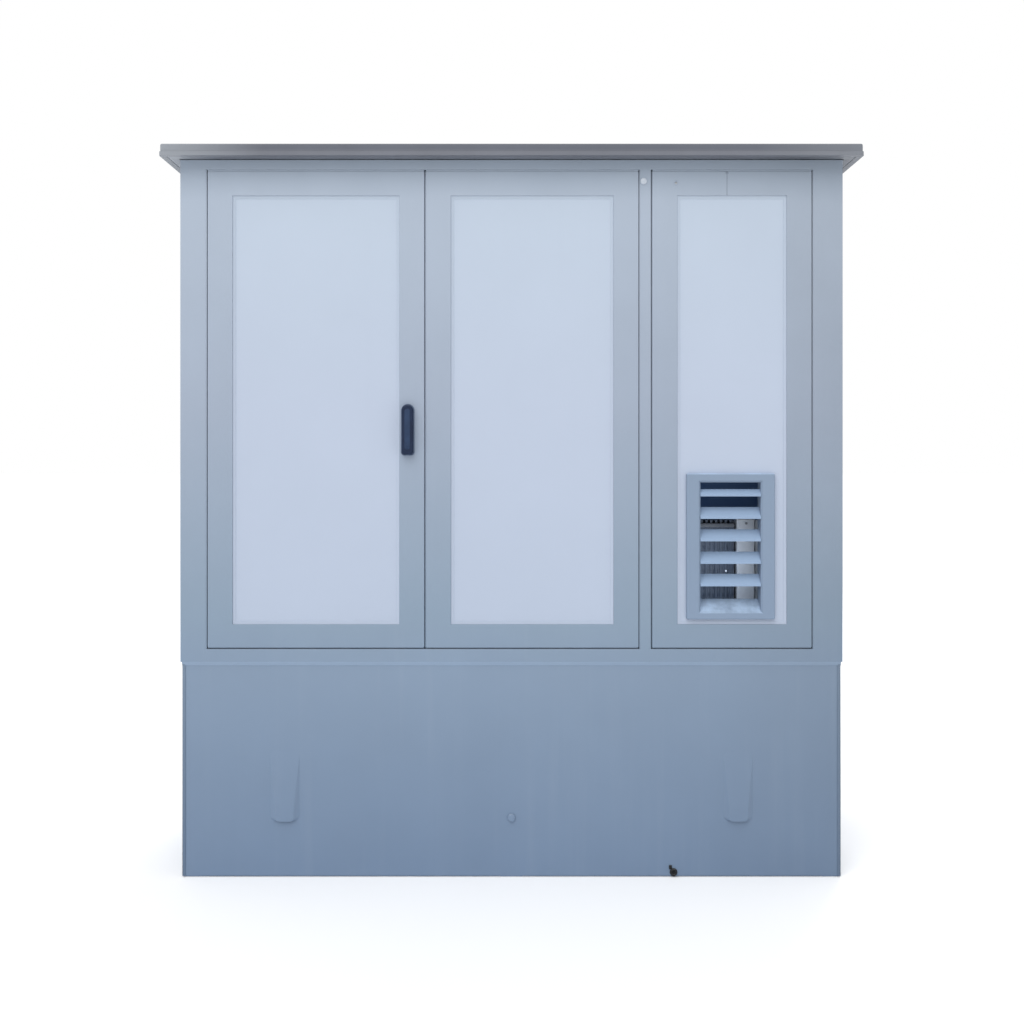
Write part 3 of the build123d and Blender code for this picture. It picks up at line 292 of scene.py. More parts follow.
def newMaterial(name, **sockets):
    material = bpy.data.materials.new(name)
    material.use_nodes = True
    tree = material.node_tree
    tree.nodes.clear()
    out = addNode(tree, "OutputMaterial")
    shader = addNode(tree, "BsdfPrincipled")
    for label, value in sockets.items():
        shader.inputs[label].default_value = value
    tree.links.new(shader.outputs[0], out.inputs["Surface"])
    return material, tree, shader


def useGroup(tree, group, **values):
    node = addNode(tree, "Group", node_tree=group)
    for label, value in values.items():
        node.inputs[label.replace("_", " ")].default_value = value
    return node


def addRamp(tree, factor, stops):
    node = addNode(tree, "ValToRGB")
    band = node.color_ramp
    while len(band.elements) < len(stops):
        band.elements.new(0.5)
    for element, (place, colour) in zip(band.elements, stops):
        element.position = place
        element.color = colour
    tree.links.new(factor, node.inputs[0])
    return node.outputs[0]


def addBump(tree, shader, height, distance):
    bump = addNode(tree, "Bump")
    bump.inputs["Distance"].default_value = distance
    tree.links.new(height, bump.inputs["Height"])
    tree.links.new(bump.outputs[0], shader.inputs["Normal"])


# outdoor paint: lightest just below the roof, with a painted shadow right under it, and deeper blue towards
# the ground, partly its own tone and partly painted shade; darker towards the right-hand end as painted
# shade; with rain runs, and dust on faces turned upwards that on the louvre is a painted highlight instead
wearAndShade = {
    "height": 2.0, "patchScale": 3.2, "patchRange": (0.3, 0.7), "sideReach": 0.9, "runShare": 0.3,
    "endReach": 0.95, "rightLoss": 0.6, "roughRange": (0.25, 0.75), "roughSwing": 0.06, "dustRough": 0.3,
}


def makePaint(name, look):
    material, tree, shader = newMaterial(name, **{"Specular IOR Level": look["gloss"]})
    fade = useGroup(tree, heightFade, Low=0.0, High=wearAndShade["height"], Ragged=look["ragged"])
    stops = [(z / wearAndShade["height"], fromPhoto(*c, look["gain"])) for z, c in look["levels"]]
    colour = addRamp(tree, fade.outputs[0], stops)
    grain = useGroup(tree, surfaceGrain, Grain_Scale=look["grainScale"], Patch_Scale=wearAndShade["patchScale"])
    patches = ranged(tree, grain.outputs["Patches"], *wearAndShade["patchRange"], -1.0, 1.0)
    shade = addMath(tree, "ADD", 1.0, times(tree, patches, look["patches"]))
    # painted shade: the paint darkens towards the right-hand end
    side = useGroup(tree, paintedRightShade, From=0.0, To=wearAndShade["sideReach"])
    shade = addMath(tree, "SUBTRACT", shade, times(tree, side.outputs[0], look["paintedRightShade"]))
    colour = addMix(tree, 1.0, colour, shade, "MULTIPLY")
    runs = useGroup(tree, rainRuns, Spread=look["runSpread"], Share=wearAndShade["runShare"])
    runs = times(tree, runs.outputs[0], look["runs"])
    colour = addMix(tree, runs, colour, fromPhoto(*look["runColour"]))
    # dust on faces turned upwards; in the louvre paint this is a light blue painted highlight
    dustAndSheen = useGroup(tree, upwardDustAndSheen, Cover=look["dustAndSheen"])
    colour = addMix(tree, dustAndSheen.outputs[0], colour, fromPhoto(*look["dustAndSheenColour"]))
    # lighter towards both ends of the roof and its soffit strips, weaker at the right-hand end; on the soffit
    # strips this is painted light
    if "lighterEnds" in look:
        ends = useGroup(tree, endFade, From=look["lighterEndsFrom"], To=wearAndShade["endReach"])
        lost = times(tree, side.outputs[0], wearAndShade["rightLoss"])
        ends = times(tree, ends.outputs[0], addMath(tree, "SUBTRACT", 1.0, lost))
        colour = addMix(tree, ends, colour, fromPhoto(*look["lighterEnds"], look["gain"]))
    tree.links.new(colour, shader.inputs["Base Color"])
    roughLow, roughHigh = look["rough"] - wearAndShade["roughSwing"], look["rough"] + wearAndShade["roughSwing"]
    rough = ranged(tree, grain.outputs["Patches"], *wearAndShade["roughRange"], roughLow, roughHigh)
    dusty = times(tree, dustAndSheen.outputs[0], wearAndShade["dustRough"])
    tree.links.new(addMath(tree, "ADD", rough, dusty), shader.inputs["Roughness"])
    addBump(tree, shader, grain.outputs["Grain"], look["grainDepth"])
    return material


paintBase = {
    "gain": 0.80, "grainScale": 620.0, "grainDepth": 0.00006, "gloss": 0.32, "runSpread": 30.0, "rough": 0.5,
}
# levels: height in metres and the colour there
blueGreyPaint = dict(
    paintBase, gain=0.815, ragged=0.10, patches=0.025, runs=0.10, runColour=(160, 170, 184), dustAndSheen=0.4,
    dustAndSheenColour=(168, 171, 174), rough=0.52, paintedRightShade=0.17,
    # darker towards the ground, partly the paint's own tone and partly painted shade; the top level, just
    # under the roof, is a painted shadow of the overhang
    levels=[
        (0.03, (118, 139, 166)), (0.30, (127, 147, 172)), (0.58, (138, 157, 180)), (0.70, (143, 162, 182)),
        (1.27, (167, 179, 197)), (1.84, (181, 193, 209)), (1.93, (168, 181, 197)),
    ],
)
palePaint = dict(
    paintBase, ragged=0.12, patches=0.012, grainScale=700.0, grainDepth=0.00005, gloss=0.35, runs=0.06,
    runSpread=22.0, runColour=(164, 175, 192), dustAndSheen=0.35, dustAndSheenColour=(178, 181, 182), paintedRightShade=0.03,
    # slightly darker towards the bottom: painted shade
    levels=[(0.6, (190, 202, 222)), (1.27, (196, 207, 226)), (1.9, (200, 213, 229))],
)
roofPaint = dict(
    paintBase, ragged=0.002, patches=0.10, gloss=0.3, runs=0.12, runSpread=34.0, runColour=(96, 100, 108),
    dustAndSheen=0.7, dustAndSheenColour=(138, 137, 134), rough=0.56, paintedRightShade=0.10, lighterEnds=(160, 165, 172),
    lighterEndsFrom=0.66, levels=[
        # the lighter band up to 1.963 m, at the foot of the fascia, is a painted highlight of its hem
        (1.90, (118, 121, 130)), (1.963, (125, 128, 137)), (1.966, (106, 110, 121)), (2.0, (116, 119, 127)),
    ],
)
louvrePaint = dict(
    # the light blue dust colour on faces turned upwards, mostly the sill, is a painted highlight
    paintBase, ragged=0.08, patches=0.02, runs=0.05, runColour=(150, 162, 180), dustAndSheen=1.2,
    dustAndSheenColour=(174, 197, 224), paintedRightShade=0.05, levels=[(0.7, (140, 159, 184)), (1.1, (143, 161, 184))],
)
soffitGrey, bladeLitLevels = (124, 128, 138), [(0.7, (148, 172, 202)), (1.1, (148, 170, 198))]
paintLooks = {
    "blueGreyPaint": blueGreyPaint,
    "palePaint": palePaint,
    "roofPaint": roofPaint,
    "louvrePaint": louvrePaint,
    # the blades wear a lighter copy of the louvre paint: painted light against the shade between them
    "bladeLitPaint": dict(louvrePaint, levels=bladeLitLevels, gain=0.90, dustAndSheen=0.15),
    # a darker copy of the body paint: painted shade in the seam and on its plug
    "seamShadePaint": dict(blueGreyPaint, gain=0.60, runs=0.0),
    # a darker copy of the body paint: painted shade along the plinth's end edges
    "cornerShadePaint": dict(blueGreyPaint, gain=0.70),
    # a lighter copy of the body paint: a painted highlight that lifts the joint under the body out of its
    # shade
    "jointLitPaint": dict(blueGreyPaint, gain=1.02, runs=0.0),
    # a slightly darker copy of the panel paint: painted shade at the step from ring to sheet
    "beadShadePaint": dict(palePaint, gain=0.78, runs=0.0, dustAndSheen=0.1),
    # strips under the overhang: the strong darkening towards the right-hand end is painted shade and the
    # lighter ends are painted light
    "soffitPaint": dict(
        roofPaint, levels=[(0.0, soffitGrey), (2.0, soffitGrey)], paintedRightShade=0.30, lighterEnds=(178, 184, 192),
        lighterEndsFrom=0.80,
    ),
}


# galvanised sheet: dull flakes of zinc
def makeZinc(name, look):
    material, tree, shader = newMaterial(name, Metallic=look["metal"])
    flakes = addNode(tree, "TexVoronoi")
    flakes.inputs["Scale"].default_value = look["flakeScale"]
    tree.links.new(stretched(tree, (1, 1, 1)), flakes.inputs["Vector"])
    split = addNode(tree, "SeparateColor")
    tree.links.new(flakes.outputs["Color"], split.inputs[0])
    colour = addMix(tree, split.outputs[0], fromPhoto(*look["dark"]), fromPhoto(*look["light"]))
    grain = useGroup(tree, surfaceGrain, Grain_Scale=look["grainScale"], Patch_Scale=look["patchScale"])
    dulled = ranged(tree, grain.outputs["Patches"], *look["dullRange"], 0.0, look["dullMost"])
    colour = addMix(tree, dulled, colour, fromPhoto(*look["dull"]))
    tree.links.new(colour, shader.inputs["Base Color"])
    tree.links.new(ranged(tree, split.outputs[1], 0.0, 1.0, *look["rough"]), shader.inputs["Roughness"])
    addBump(tree, shader, grain.outputs["Grain"], look["grainDepth"])
    return material


zincLooks = {
    "zincSheet": {
        "dark": (160, 163, 166), "light": (184, 187, 190), "dull": (150, 153, 156), "dullRange": (0.4, 0.8),
        "dullMost": 0.35, "flakeScale": 130.0, "grainScale": 420.0, "patchScale": 9.0, "grainDepth": 0.00004,
        "metal": 0.75, "rough": (0.34, 0.52),
    },
}


# drawn bar, pins and bright fasteners
def makeBright(name, look):
    material, tree, shader = newMaterial(name, Metallic=1.0)
    along = {"Along_X": look["alongX"], "Along_Z": look["alongZ"]}
    lines = useGroup(tree, drawnLines, **along, Scale=look["lineScale"]).outputs[0]
    colour = addMix(tree, lines, fromPhoto(*look["dark"]), fromPhoto(*look["light"]))
    tree.links.new(colour, shader.inputs["Base Color"])
    tree.links.new(ranged(tree, lines, *look["lineRange"], *look["rough"]), shader.inputs["Roughness"])
    addBump(tree, shader, lines, look["lineDepth"])
    return material


drawn = {"lineScale": 800.0, "lineRange": (0.3, 0.7), "lineDepth": 0.00003}
brightLooks = {
    "brightSteel": dict(
        drawn, dark=(158, 160, 162), light=(204, 206, 208), alongX=1.0, alongZ=0.03, rough=(0.23, 0.39),
    ),
    "brassBar": dict(
        drawn, dark=(168, 138, 82), light=(206, 176, 112), alongX=0.03, alongZ=1.0, rough=(0.27, 0.43),
    ),
}


# moulded plastics and rubber: a fine pebble with scuffs in its colour
scuffed = {"range": (0.3, 0.7), "dustAndSheenColour": (150, 150, 148), "roughLess": 0.06, "roughMore": 0.08}


def makeMoulded(name, look):
    material, tree, shader = newMaterial(name, **{"Specular IOR Level": look["gloss"]})
    grain = useGroup(tree, surfaceGrain, Grain_Scale=look["grainScale"], Patch_Scale=look["patchScale"])
    scuffs = ranged(tree, grain.outputs["Patches"], *scuffed["range"])
    colour = addMix(tree, scuffs, fromPhoto(*look["dark"]), fromPhoto(*look["light"]))
    dustAndSheen = useGroup(tree, upwardDustAndSheen, Cover=look["dustAndSheen"])
    colour = addMix(tree, dustAndSheen.outputs[0], colour, fromPhoto(*scuffed["dustAndSheenColour"]))
    tree.links.new(colour, shader.inputs["Base Color"])
    roughLow, roughHigh = look["rough"] - scuffed["roughLess"], look["rough"] + scuffed["roughMore"]
    rough = ranged(tree, grain.outputs["Grain"], *scuffed["range"], roughLow, roughHigh)
    tree.links.new(rough, shader.inputs["Roughness"])
    addBump(tree, shader, grain.outputs["Grain"], look["grainDepth"])
    return material


mouldedKeys = ("dark", "light", "grainScale", "patchScale", "grainDepth", "gloss", "rough", "dustAndSheen")
mouldedRows = {
    "handleBlack": ((13, 28, 54), (21, 38, 66), 1500.0, 30.0, 0.00005, 0.28, 0.5, 0.12),
    "handleRim": ((70, 84, 108), (84, 99, 124), 1500.0, 30.0, 0.00005, 0.4, 0.48, 0.1),
    "blackPlastic": ((28, 29, 31), (38, 39, 42), 1500.0, 30.0, 0.00005, 0.4, 0.48, 0.1),
    "whitePlastic": ((214, 217, 220), (230, 232, 233), 1300.0, 12.0, 0.00004, 0.45, 0.4, 0.1),
    "greyPlastic": ((150, 154, 158), (166, 170, 173), 1300.0, 16.0, 0.00004, 0.4, 0.46, 0.15),
    "terminalBeige": ((172, 168, 156), (188, 184, 171), 1400.0, 20.0, 0.00004, 0.4, 0.5, 0.1),
    "sealRubber": ((24, 25, 26), (36, 37, 38), 1000.0, 40.0, 0.00008, 0.25, 0.72, 0.2),
    "gripInlay": ((29, 47, 75), (37, 57, 87), 1800.0, 40.0, 0.00006, 0.3, 0.6, 0.1),
    "darkUnit": ((40, 43, 48), (52, 55, 60), 800.0, 10.0, 0.00007, 0.35, 0.55, 0.25),
    "finGrey": ((69, 79, 93), (86, 97, 113), 900.0, 14.0, 0.00005, 0.5, 0.42, 0.3),
    "rackFace": ((56, 59, 64), (68, 71, 76), 900.0, 12.0, 0.00005, 0.4, 0.48, 0.2),
    "screwGrey": ((180, 188, 199), (200, 207, 216), 900.0, 60.0, 0.00003, 0.5, 0.34, 0.1),
    "trimGrey": ((100, 103, 108), (119, 121, 124), 900.0, 20.0, 0.00004, 0.4, 0.5, 0.2),
}
mouldedLooks = {name: dict(zip(mouldedKeys, row)) for name, row in mouldedRows.items()}


# signal lamp: a lit lens, uneven in its colour
def makeLens(name, look):
    material, tree, shader = newMaterial(name, Roughness=look["rough"])
    shader.inputs["Emission Strength"].default_value = look["power"]
    grain = useGroup(tree, surfaceGrain, Grain_Scale=look["grainScale"], Patch_Scale=look["patchScale"])
    colour = addMix(tree, grain.outputs["Patches"], fromPhoto(*look["rim"]), fromPhoto(*look["middle"]))
    tree.links.new(colour, shader.inputs["Base Color"])
    tree.links.new(colour, shader.inputs["Emission Color"])
    return material


lens = {"grainScale": 1800.0, "patchScale": 400.0, "rough": 0.2}
lensLooks = {
    "lampLens": dict(lens, rim=(196, 216, 235), middle=(255, 246, 246), power=0.45),
    "greenLens": dict(lens, rim=(60, 190, 96), middle=(140, 240, 160), power=0.6),
}

materials = {}
for make, looks in (
    (makePaint, paintLooks), (makeZinc, zincLooks), (makeBright, brightLooks), (makeMoulded, mouldedLooks),
    (makeLens, lensLooks),
):
    for name, look in looks.items():
        materials[name] = make(name, look)
print("materials made:", len(materials))


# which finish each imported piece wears
finishes = {
    "blueGreyPaint": [
        "plinth_frame", "plinth_cover", "plinth_air_hoods", "plinth_cover_screw", "front_frame",
        "left_side_sheet", "right_side_sheet", "back_sheet", "main_rain_gutter", "right_rain_gutter",
        "centre_post", "left_door_frame", "middle_door_frame", "right_door_frame", "cam_lock_sleeve",
    ],
    "louvrePaint": ["louvre_frame"],
    "bladeLitPaint": ["louvre_blades"],
    "palePaint": ["left_door_panel", "middle_door_panel", "right_door_panel"],
    "roofPaint": ["roof_cap"],
    "zincSheet": [
        "ceiling_plate", "floor_plate", "partition", "roof_bearers", "rack_uprights", "mounting_plate",
        "mounting_rails", "unit_shelf", "frame_hinge_leaves", "left_door_hinge_leaves",
        "middle_door_hinge_leaves", "right_door_hinge_leaves", "lock_gearbox", "upper_lock_rod",
        "lower_lock_rod", "bolt_brackets", "handle_spindle", "cam_lock_cam",
    ],
    "brightSteel": ["hinge_pins", "handle_pin", "upper_slide_bolt", "lower_slide_bolt"],
    "handleBlack": ["handle_lever"],
    "handleRim": ["handle_base"],
    "blackPlastic": ["rod_guides", "breaker_toggle"],
    "sealRubber": ["left_door_gasket", "middle_door_gasket", "right_door_gasket", "cable_glands"],
    "greyPlastic": ["cable_ducts", "main_breaker"],
    "terminalBeige": ["terminal_blocks"],
    "darkUnit": ["rack_units"],
    "finGrey": ["finned_power_unit"],
    "whitePlastic": ["white_service_box"],
    "screwGrey": ["mullion_screw"],
    "brassBar": ["earth_bar"],
    "lampLens": ["signal_lamp"],
}
for finish, names in finishes.items():
    for name in names:
        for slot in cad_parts[name].material_slots:
            slot.material = materials[finish]
print("finishes set:", len(finishes))


def roundEdges(mesh, edges, size, steps):
    bmesh.ops.bevel(mesh, geom=edges, offset=size, affect="EDGES", segments=steps, profile=0.5, material=-1)


def addBlock(mesh, low, high, bevel=0.0, steps=2):
    made = bmesh.ops.create_cube(mesh, size=1.0)["verts"]
    bmesh.ops.scale(mesh, verts=made, vec=[h - l for l, h in zip(low, high)])
    bmesh.ops.translate(mesh, verts=made, vec=[(l + h) / 2 for l, h in zip(low, high)])
    if bevel:
        roundEdges(mesh, list({edge for vert in made for edge in vert.link_edges}), bevel, steps)


def addTurned(mesh, place, axis, profile, steps):
    # profile: pairs of distance from the axis and height along it
    along = Vector(axis).normalized()
    aside = along.orthogonal().normalized()
    verts = [mesh.verts.new(Vector(place) + aside * r + along * h) for r, h in profile]
    edges = [mesh.edges.new(pair) for pair in zip(verts, verts[1:])]
    bmesh.ops.spin(
        mesh, geom=verts + edges, cent=place, axis=along, angle=math.tau, steps=steps, use_merge=True,
    )


# heads of screws and rivets: shares of the radius and of the rise, then a root in the sheet below
headShapes = {
    "dome": [(0, 1), (0.55, 0.86), (0.9, 0.45), (1, 0)],
    "pan": [(0, 0.35), (0.36, 0.35), (0.42, 1), (0.85, 1), (1, 0.6)],
    "grommet": [(0, 0.3), (0.45, 0.3), (0.55, 0.9), (0.75, 1), (0.95, 0.7), (1, 0)],
}
rootDepth = 0.001
towardFront, towardBack = (0, -1, 0), (0, 1, 0)


def addHead(mesh, shape, place, size, axis=towardFront):
    # size: radius, rise and steps
    radius, rise, steps = size
    profile = [(radius * r, rise * h) for r, h in headShapes[shape]]
    addTurned(mesh, place, axis, profile + [(radius, -rootDepth), (0, -rootDepth)], steps)


def addScrews(mesh, xs, y, zs, size, axis=towardFront):
    for x in xs:
        for z in zs:
            addHead(mesh, "pan", (x, y, z), size, axis)


def addFrontGrid(mesh, low, high, cells):
    # a flat grid turned to the front, at the depth of its low corner
    made = bmesh.ops.create_grid(mesh, x_segments=cells[0], y_segments=cells[1], size=0.5)["verts"]
    bmesh.ops.rotate(mesh, verts=made, cent=(0, 0, 0), matrix=Matrix.Rotation(math.radians(90), 3, "X"))
    bmesh.ops.scale(mesh, verts=made, vec=(high[0] - low[0], 1, high[2] - low[2]))
    bmesh.ops.translate(mesh, verts=made, vec=((low[0] + high[0]) / 2, low[1], (low[2] + high[2]) / 2))
    return made


def addFacePlate(mesh, low, high, cells, openCells, rim, depth):
    # a plate seen from the front, its chosen cells sunk to real recesses
    made = addFrontGrid(mesh, low, high, cells)
    faces = list({face for vert in made for face in vert.link_faces})
    wide, tall = (high[0] - low[0]) / cells[0], (high[2] - low[2]) / cells[1]
    edges = [edge for edge in {e for f in faces for e in f.edges} if len(edge.link_faces) == 1]
    sunk = []
    for face in faces:
        middle = face.calc_center_median()
        if (int((middle.x - low[0]) / wide), int((middle.z - low[2]) / tall)) in openCells:
            sunk.append(face)
    rear = bmesh.ops.extrude_edge_only(mesh, edges=edges)["geom"]
    rearVerts = [v for v in rear if isinstance(v, bmesh.types.BMVert)]
    bmesh.ops.translate(mesh, verts=rearVerts, vec=(0, high[1] - low[1], 0))
    bmesh.ops.contextual_create(mesh, geom=[e for e in rear if isinstance(e, bmesh.types.BMEdge)])
    bmesh.ops.recalc_face_normals(mesh, faces=mesh.faces)
    bmesh.ops.inset_individual(mesh, faces=sunk, thickness=rim, depth=-depth, use_even_offset=True)


def addRun(mesh, x0, x1, section):
    # section: pairs of y and z, drawn out along x
    ring = [mesh.verts.new((x0, y, z)) for y, z in section]
    end = bmesh.ops.extrude_face_region(mesh, geom=[mesh.faces.new(ring)])["geom"]
    endVerts = [v for v in end if isinstance(v, bmesh.types.BMVert)]
    bmesh.ops.translate(mesh, verts=endVerts, vec=(x1 - x0, 0, 0))


def finishPiece(name, mesh, finish, body="cabinet", sharp=35):
    mergeDistance = 0.000004
    bmesh.ops.remove_doubles(mesh, verts=mesh.verts, dist=mergeDistance)
    bmesh.ops.recalc_face_normals(mesh, faces=mesh.faces)
    data = bpy.data.meshes.new(name)
    mesh.to_mesh(data)
    mesh.free()
    data.materials.append(materials[finish])
    for face in data.polygons:
        face.use_smooth = True
    data.set_sharp_from_angle(angle=math.radians(sharp))
    piece = bpy.data.objects.new(name, data)
    bpy.context.scene.collection.objects.link(piece)
    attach(piece, body)


# painted lips that close most of the gap round each door; on the hinge side the lip is on the frame
lips = {
    "sunk": 0.0030, "back": 0.0095, "lap": 0.0004, "bevel": 0.0004, "top": 0.0031, "topSunk": 0.0010,
    "bottom": 0.0015, "doorGap": 0.0035, "hingeReach": 0.0022, "hingeThick": 0.0008, "hingeBevel": 0.00024,
    "hingeInset": 0.0006,
    "free": {"left_door": 0.0, "middle_door": 0.0016, "right_door": 0.0012},
    "hinged": {"left_door": -1, "middle_door": 1, "right_door": 1},
}
lap, bevel, doorGap = lips["lap"], lips["bevel"], lips["doorGap"]
frameLips = bmesh.new()
for door, hand in lips["hinged"].items():
    low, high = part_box(door + "_frame")
    mesh = bmesh.new()
    yFront, yBack = low.y + lips["sunk"], low.y + lips["back"]
    yTop, zTop, zBottom = low.y + lips["topSunk"], high.z + lips["top"], low.z - lips["bottom"]
    x0, x1 = low.x + lips["hingeInset"], high.x - lips["hingeInset"]
    addBlock(mesh, (x0, yTop, high.z - lap), (x1, yBack, zTop), bevel)
    addBlock(mesh, (x0, yFront, zBottom), (x1, yBack, low.z + lap), bevel)
    xHinged, xFree = (high.x, low.x) if hand > 0 else (low.x, high.x)
    reach = lips["free"][door]
    if reach:
        x0, x1 = sorted((xFree - hand * reach, xFree + hand * lap))
        addBlock(mesh, (x0, yFront, low.z), (x1, yBack, high.z), bevel)
    finishPiece(door + "_edge_lip", mesh, "blueGreyPaint", door)
    xFrame = xHinged + hand * doorGap
    x0, x1 = sorted((xFrame - hand * lips["hingeReach"], xFrame + hand * lap))
    lipHigh = (x1, low.y + lips["hingeThick"], high.z + doorGap)
    addBlock(frameLips, (x0, low.y, low.z - doorGap), lipHigh, lips["hingeBevel"])
finishPiece("frame_hinge_lips", frameLips, "blueGreyPaint")
print("door lips made")


# sealing bead that eases the step from each door ring to its sheet, in a slightly darker paint that is
# painted shade
bead = {"overlap": 0.010, "rise": 0.0020, "width": 0.0075, "thick": 0.0010}
lap = bead["overlap"]
for door in lips["hinged"]:
    low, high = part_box(door + "_panel")
    beadFront = low.y - bead["rise"]
    mesh = bmesh.new()
    beadLow, beadHigh = (low.x + lap, beadFront, low.z + lap), (high.x - lap, beadFront, high.z - lap)
    addFrontGrid(mesh, beadLow, beadHigh, (1, 1))
    sheet = list(mesh.faces)
    bmesh.ops.inset_region(
        mesh, faces=sheet, thickness=bead["width"], use_boundary=True, use_even_offset=True,
    )
    bmesh.ops.translate(mesh, verts=sheet[0].verts, vec=(0, bead["rise"], 0))
    bmesh.ops.delete(mesh, geom=sheet, context="FACES_ONLY")
    bmesh.ops.recalc_face_normals(mesh, faces=mesh.faces)
    bmesh.ops.solidify(mesh, geom=mesh.faces, thickness=bead["thick"])
    finishPiece(door + "_panel_bead", mesh, "beadShadePaint", door)
print("panel beads made")


# return strips under the roof overhang, with an air slot left beside the body
soffit = {"lip": 0.018, "airSlot": 0.0022, "low": 0.0004, "thick": 0.0015, "upstand": 0.009, "bevel": 0.0004}
low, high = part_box("roof_cap")
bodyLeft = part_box("left_side_sheet")[0].x
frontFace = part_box("front_frame")[0].y
mesh = bmesh.new()
z0 = low.z + soffit["low"]
flatTop, standTop = z0 + soffit["thick"], z0 + soffit["upstand"]
xOut, xIn = high.x - soffit["lip"], -bodyLeft + soffit["airSlot"]
yOut, yIn = high.y - soffit["lip"], -frontFace + soffit["airSlot"]
for hand in (-1, 1):
    for reach, top in ((yOut, flatTop), (yIn + soffit["thick"], standTop)):
        y0, y1 = sorted((hand * yIn, hand * reach))
        addBlock(mesh, (-xOut, y0, z0), (xOut, y1, top), soffit["bevel"])
    for reach, top in ((xOut, flatTop), (xIn + soffit["thick"], standTop)):
        x0, x1 = sorted((hand * xIn, hand * reach))
        addBlock(mesh, (x0, -yIn, z0), (x1, yIn, top), soffit["bevel"])
finishPiece("roof_soffit_strips", mesh, "soffitPaint")
print("soffit strips made")


# plinth trim: corner angles and a sealing joint under the front of the body
trim = {
    "leg": 0.0045, "sideLeg": 0.009, "thick": 0.0028, "bevel": 0.0009, "jointSetback": 0.0004,
    "jointEdge": 0.0005, "jointProud": 0.0008, "jointDrop": 0.0105, "jointLap": 0.0012, "endGap": 0.004,
    "jointSharp": 20,
}
low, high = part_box("plinth_cover")
bodyLow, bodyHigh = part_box("front_frame")
mesh = bmesh.new()
yFront = low.y - trim["thick"]
for hand in (-1, 1):
    outer = hand * (high.x + trim["thick"])
    for inner, yBack in ((high.x - trim["leg"], low.y), (high.x, low.y + trim["sideLeg"])):
        x0, x1 = sorted((outer, hand * inner))
        addBlock(mesh, (x0, yFront, low.z), (x1, yBack, high.z), trim["bevel"])
# the corner angles are darkened with painted edge shade
finishPiece("plinth_corner_angles", mesh, "cornerShadePaint")
mesh = bmesh.new()
yBody, yLap = bodyLow.y + trim["jointSetback"], low.y + trim["jointLap"]
zTop, zBottom = bodyLow.z + trim["jointLap"], bodyLow.z - trim["jointDrop"]
section = [
    (yBody, zTop), (yBody, bodyLow.z - trim["jointEdge"]), (low.y - trim["jointProud"], zBottom),
    (yLap, zBottom), (yLap, zTop),
]
addRun(mesh, bodyLow.x + trim["endGap"], bodyHigh.x - trim["endGap"], section)
# the joint bead is lightened with a painted highlight
finishPiece("plinth_joint_bead", mesh, "jointLitPaint", sharp=trim["jointSharp"])
print("plinth trim made")


# butt seam across the top rail of the narrow door, with the plug that ends it, both in a darker paint that is
# painted shade
seam = {
    "x": 0.5855, "half": 0.0011, "proud": 0.0004, "depth": 0.001, "sheetLap": 0.010, "lowGap": 0.001,
    "topGap": 0.003, "bevel": 0.0003, "plug": (0.0042, 0.0016, 14), "plugDrop": 0.006,
}
low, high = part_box("right_door_frame")
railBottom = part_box("right_door_panel")[1].z - seam["sheetLap"]
mesh = bmesh.new()
seamX, half = seam["x"], seam["half"]
addBlock(
    mesh, (seamX - half, low.y - seam["proud"], railBottom + seam["lowGap"]),
    (seamX + half, low.y + seam["depth"], high.z - seam["topGap"]), seam["bevel"],
)
finishPiece("top_rail_seam", mesh, "seamShadePaint", "right_door")
mesh = bmesh.new()
addHead(mesh, "dome", (seamX, low.y, high.z - seam["plugDrop"]), seam["plug"])
finishPiece("top_rail_plug", mesh, "seamShadePaint", "right_door")
print("top rail seam made")


# drain grommet at the foot of the plinth cover, with its pull tab
drain = {
    "x": 0.441, "z": 0.0125, "grommet": (0.0105, 0.006, 24), "tabLow": (0.4285, 0.0205),
    "tabHigh": (0.4365, 0.0315), "tabRise": 0.0035, "tabBevel": (0.0015, 3),
}
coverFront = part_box("plinth_cover")[0].y
mesh = bmesh.new()
addHead(mesh, "grommet", (drain["x"], coverFront, drain["z"]), drain["grommet"])
(x0, z0), (x1, z1) = drain["tabLow"], drain["tabHigh"]
tabFront, tabRoot = coverFront - drain["tabRise"], coverFront + rootDepth
addBlock(mesh, (x0, tabFront, z0), (x1, tabRoot, z1), *drain["tabBevel"])
finishPiece("plinth_drain_grommet", mesh, "sealRubber")
print("drain grommet made")


# soft inlay and key cover on the swing handle
grip = {
    "half": 0.0075, "bottomGap": 0.0135, "tall": 0.1105, "proud": 0.0007, "thick": 0.002, "roundShare": 0.98,
    "roundSteps": 8, "rimBevel": 0.0004, "rimSteps": 2, "key": (0.0062, 0.0011, 28), "keyRise": 0.022,
}
low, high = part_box("handle_lever")
middleX, half, thick = (low.x + high.x) / 2, grip["half"], grip["thick"]
inlayFront, z0 = low.y - grip["proud"], low.z + grip["bottomGap"]
mesh = bmesh.new()
addBlock(mesh, (middleX - half, inlayFront, z0), (middleX + half, inlayFront + thick, z0 + grip["tall"]))
upright = [e for e in mesh.edges if abs((e.verts[0].co - e.verts[1].co).y) > thick / 2]
roundEdges(mesh, upright, half * grip["roundShare"], grip["roundSteps"])
rimEdges = [e for e in mesh.edges if all(v.co.y < inlayFront + thick / 2 for v in e.verts)]
roundEdges(mesh, rimEdges, grip["rimBevel"], grip["rimSteps"])
finishPiece("handle_soft_inlay", mesh, "gripInlay", "handle_grip")
mesh = bmesh.new()
addHead(mesh, "pan", (middleX, low.y, low.z + grip["keyRise"]), grip["key"])
finishPiece("handle_key_cover", mesh, "gripInlay", "handle_grip")
print("handle details made")


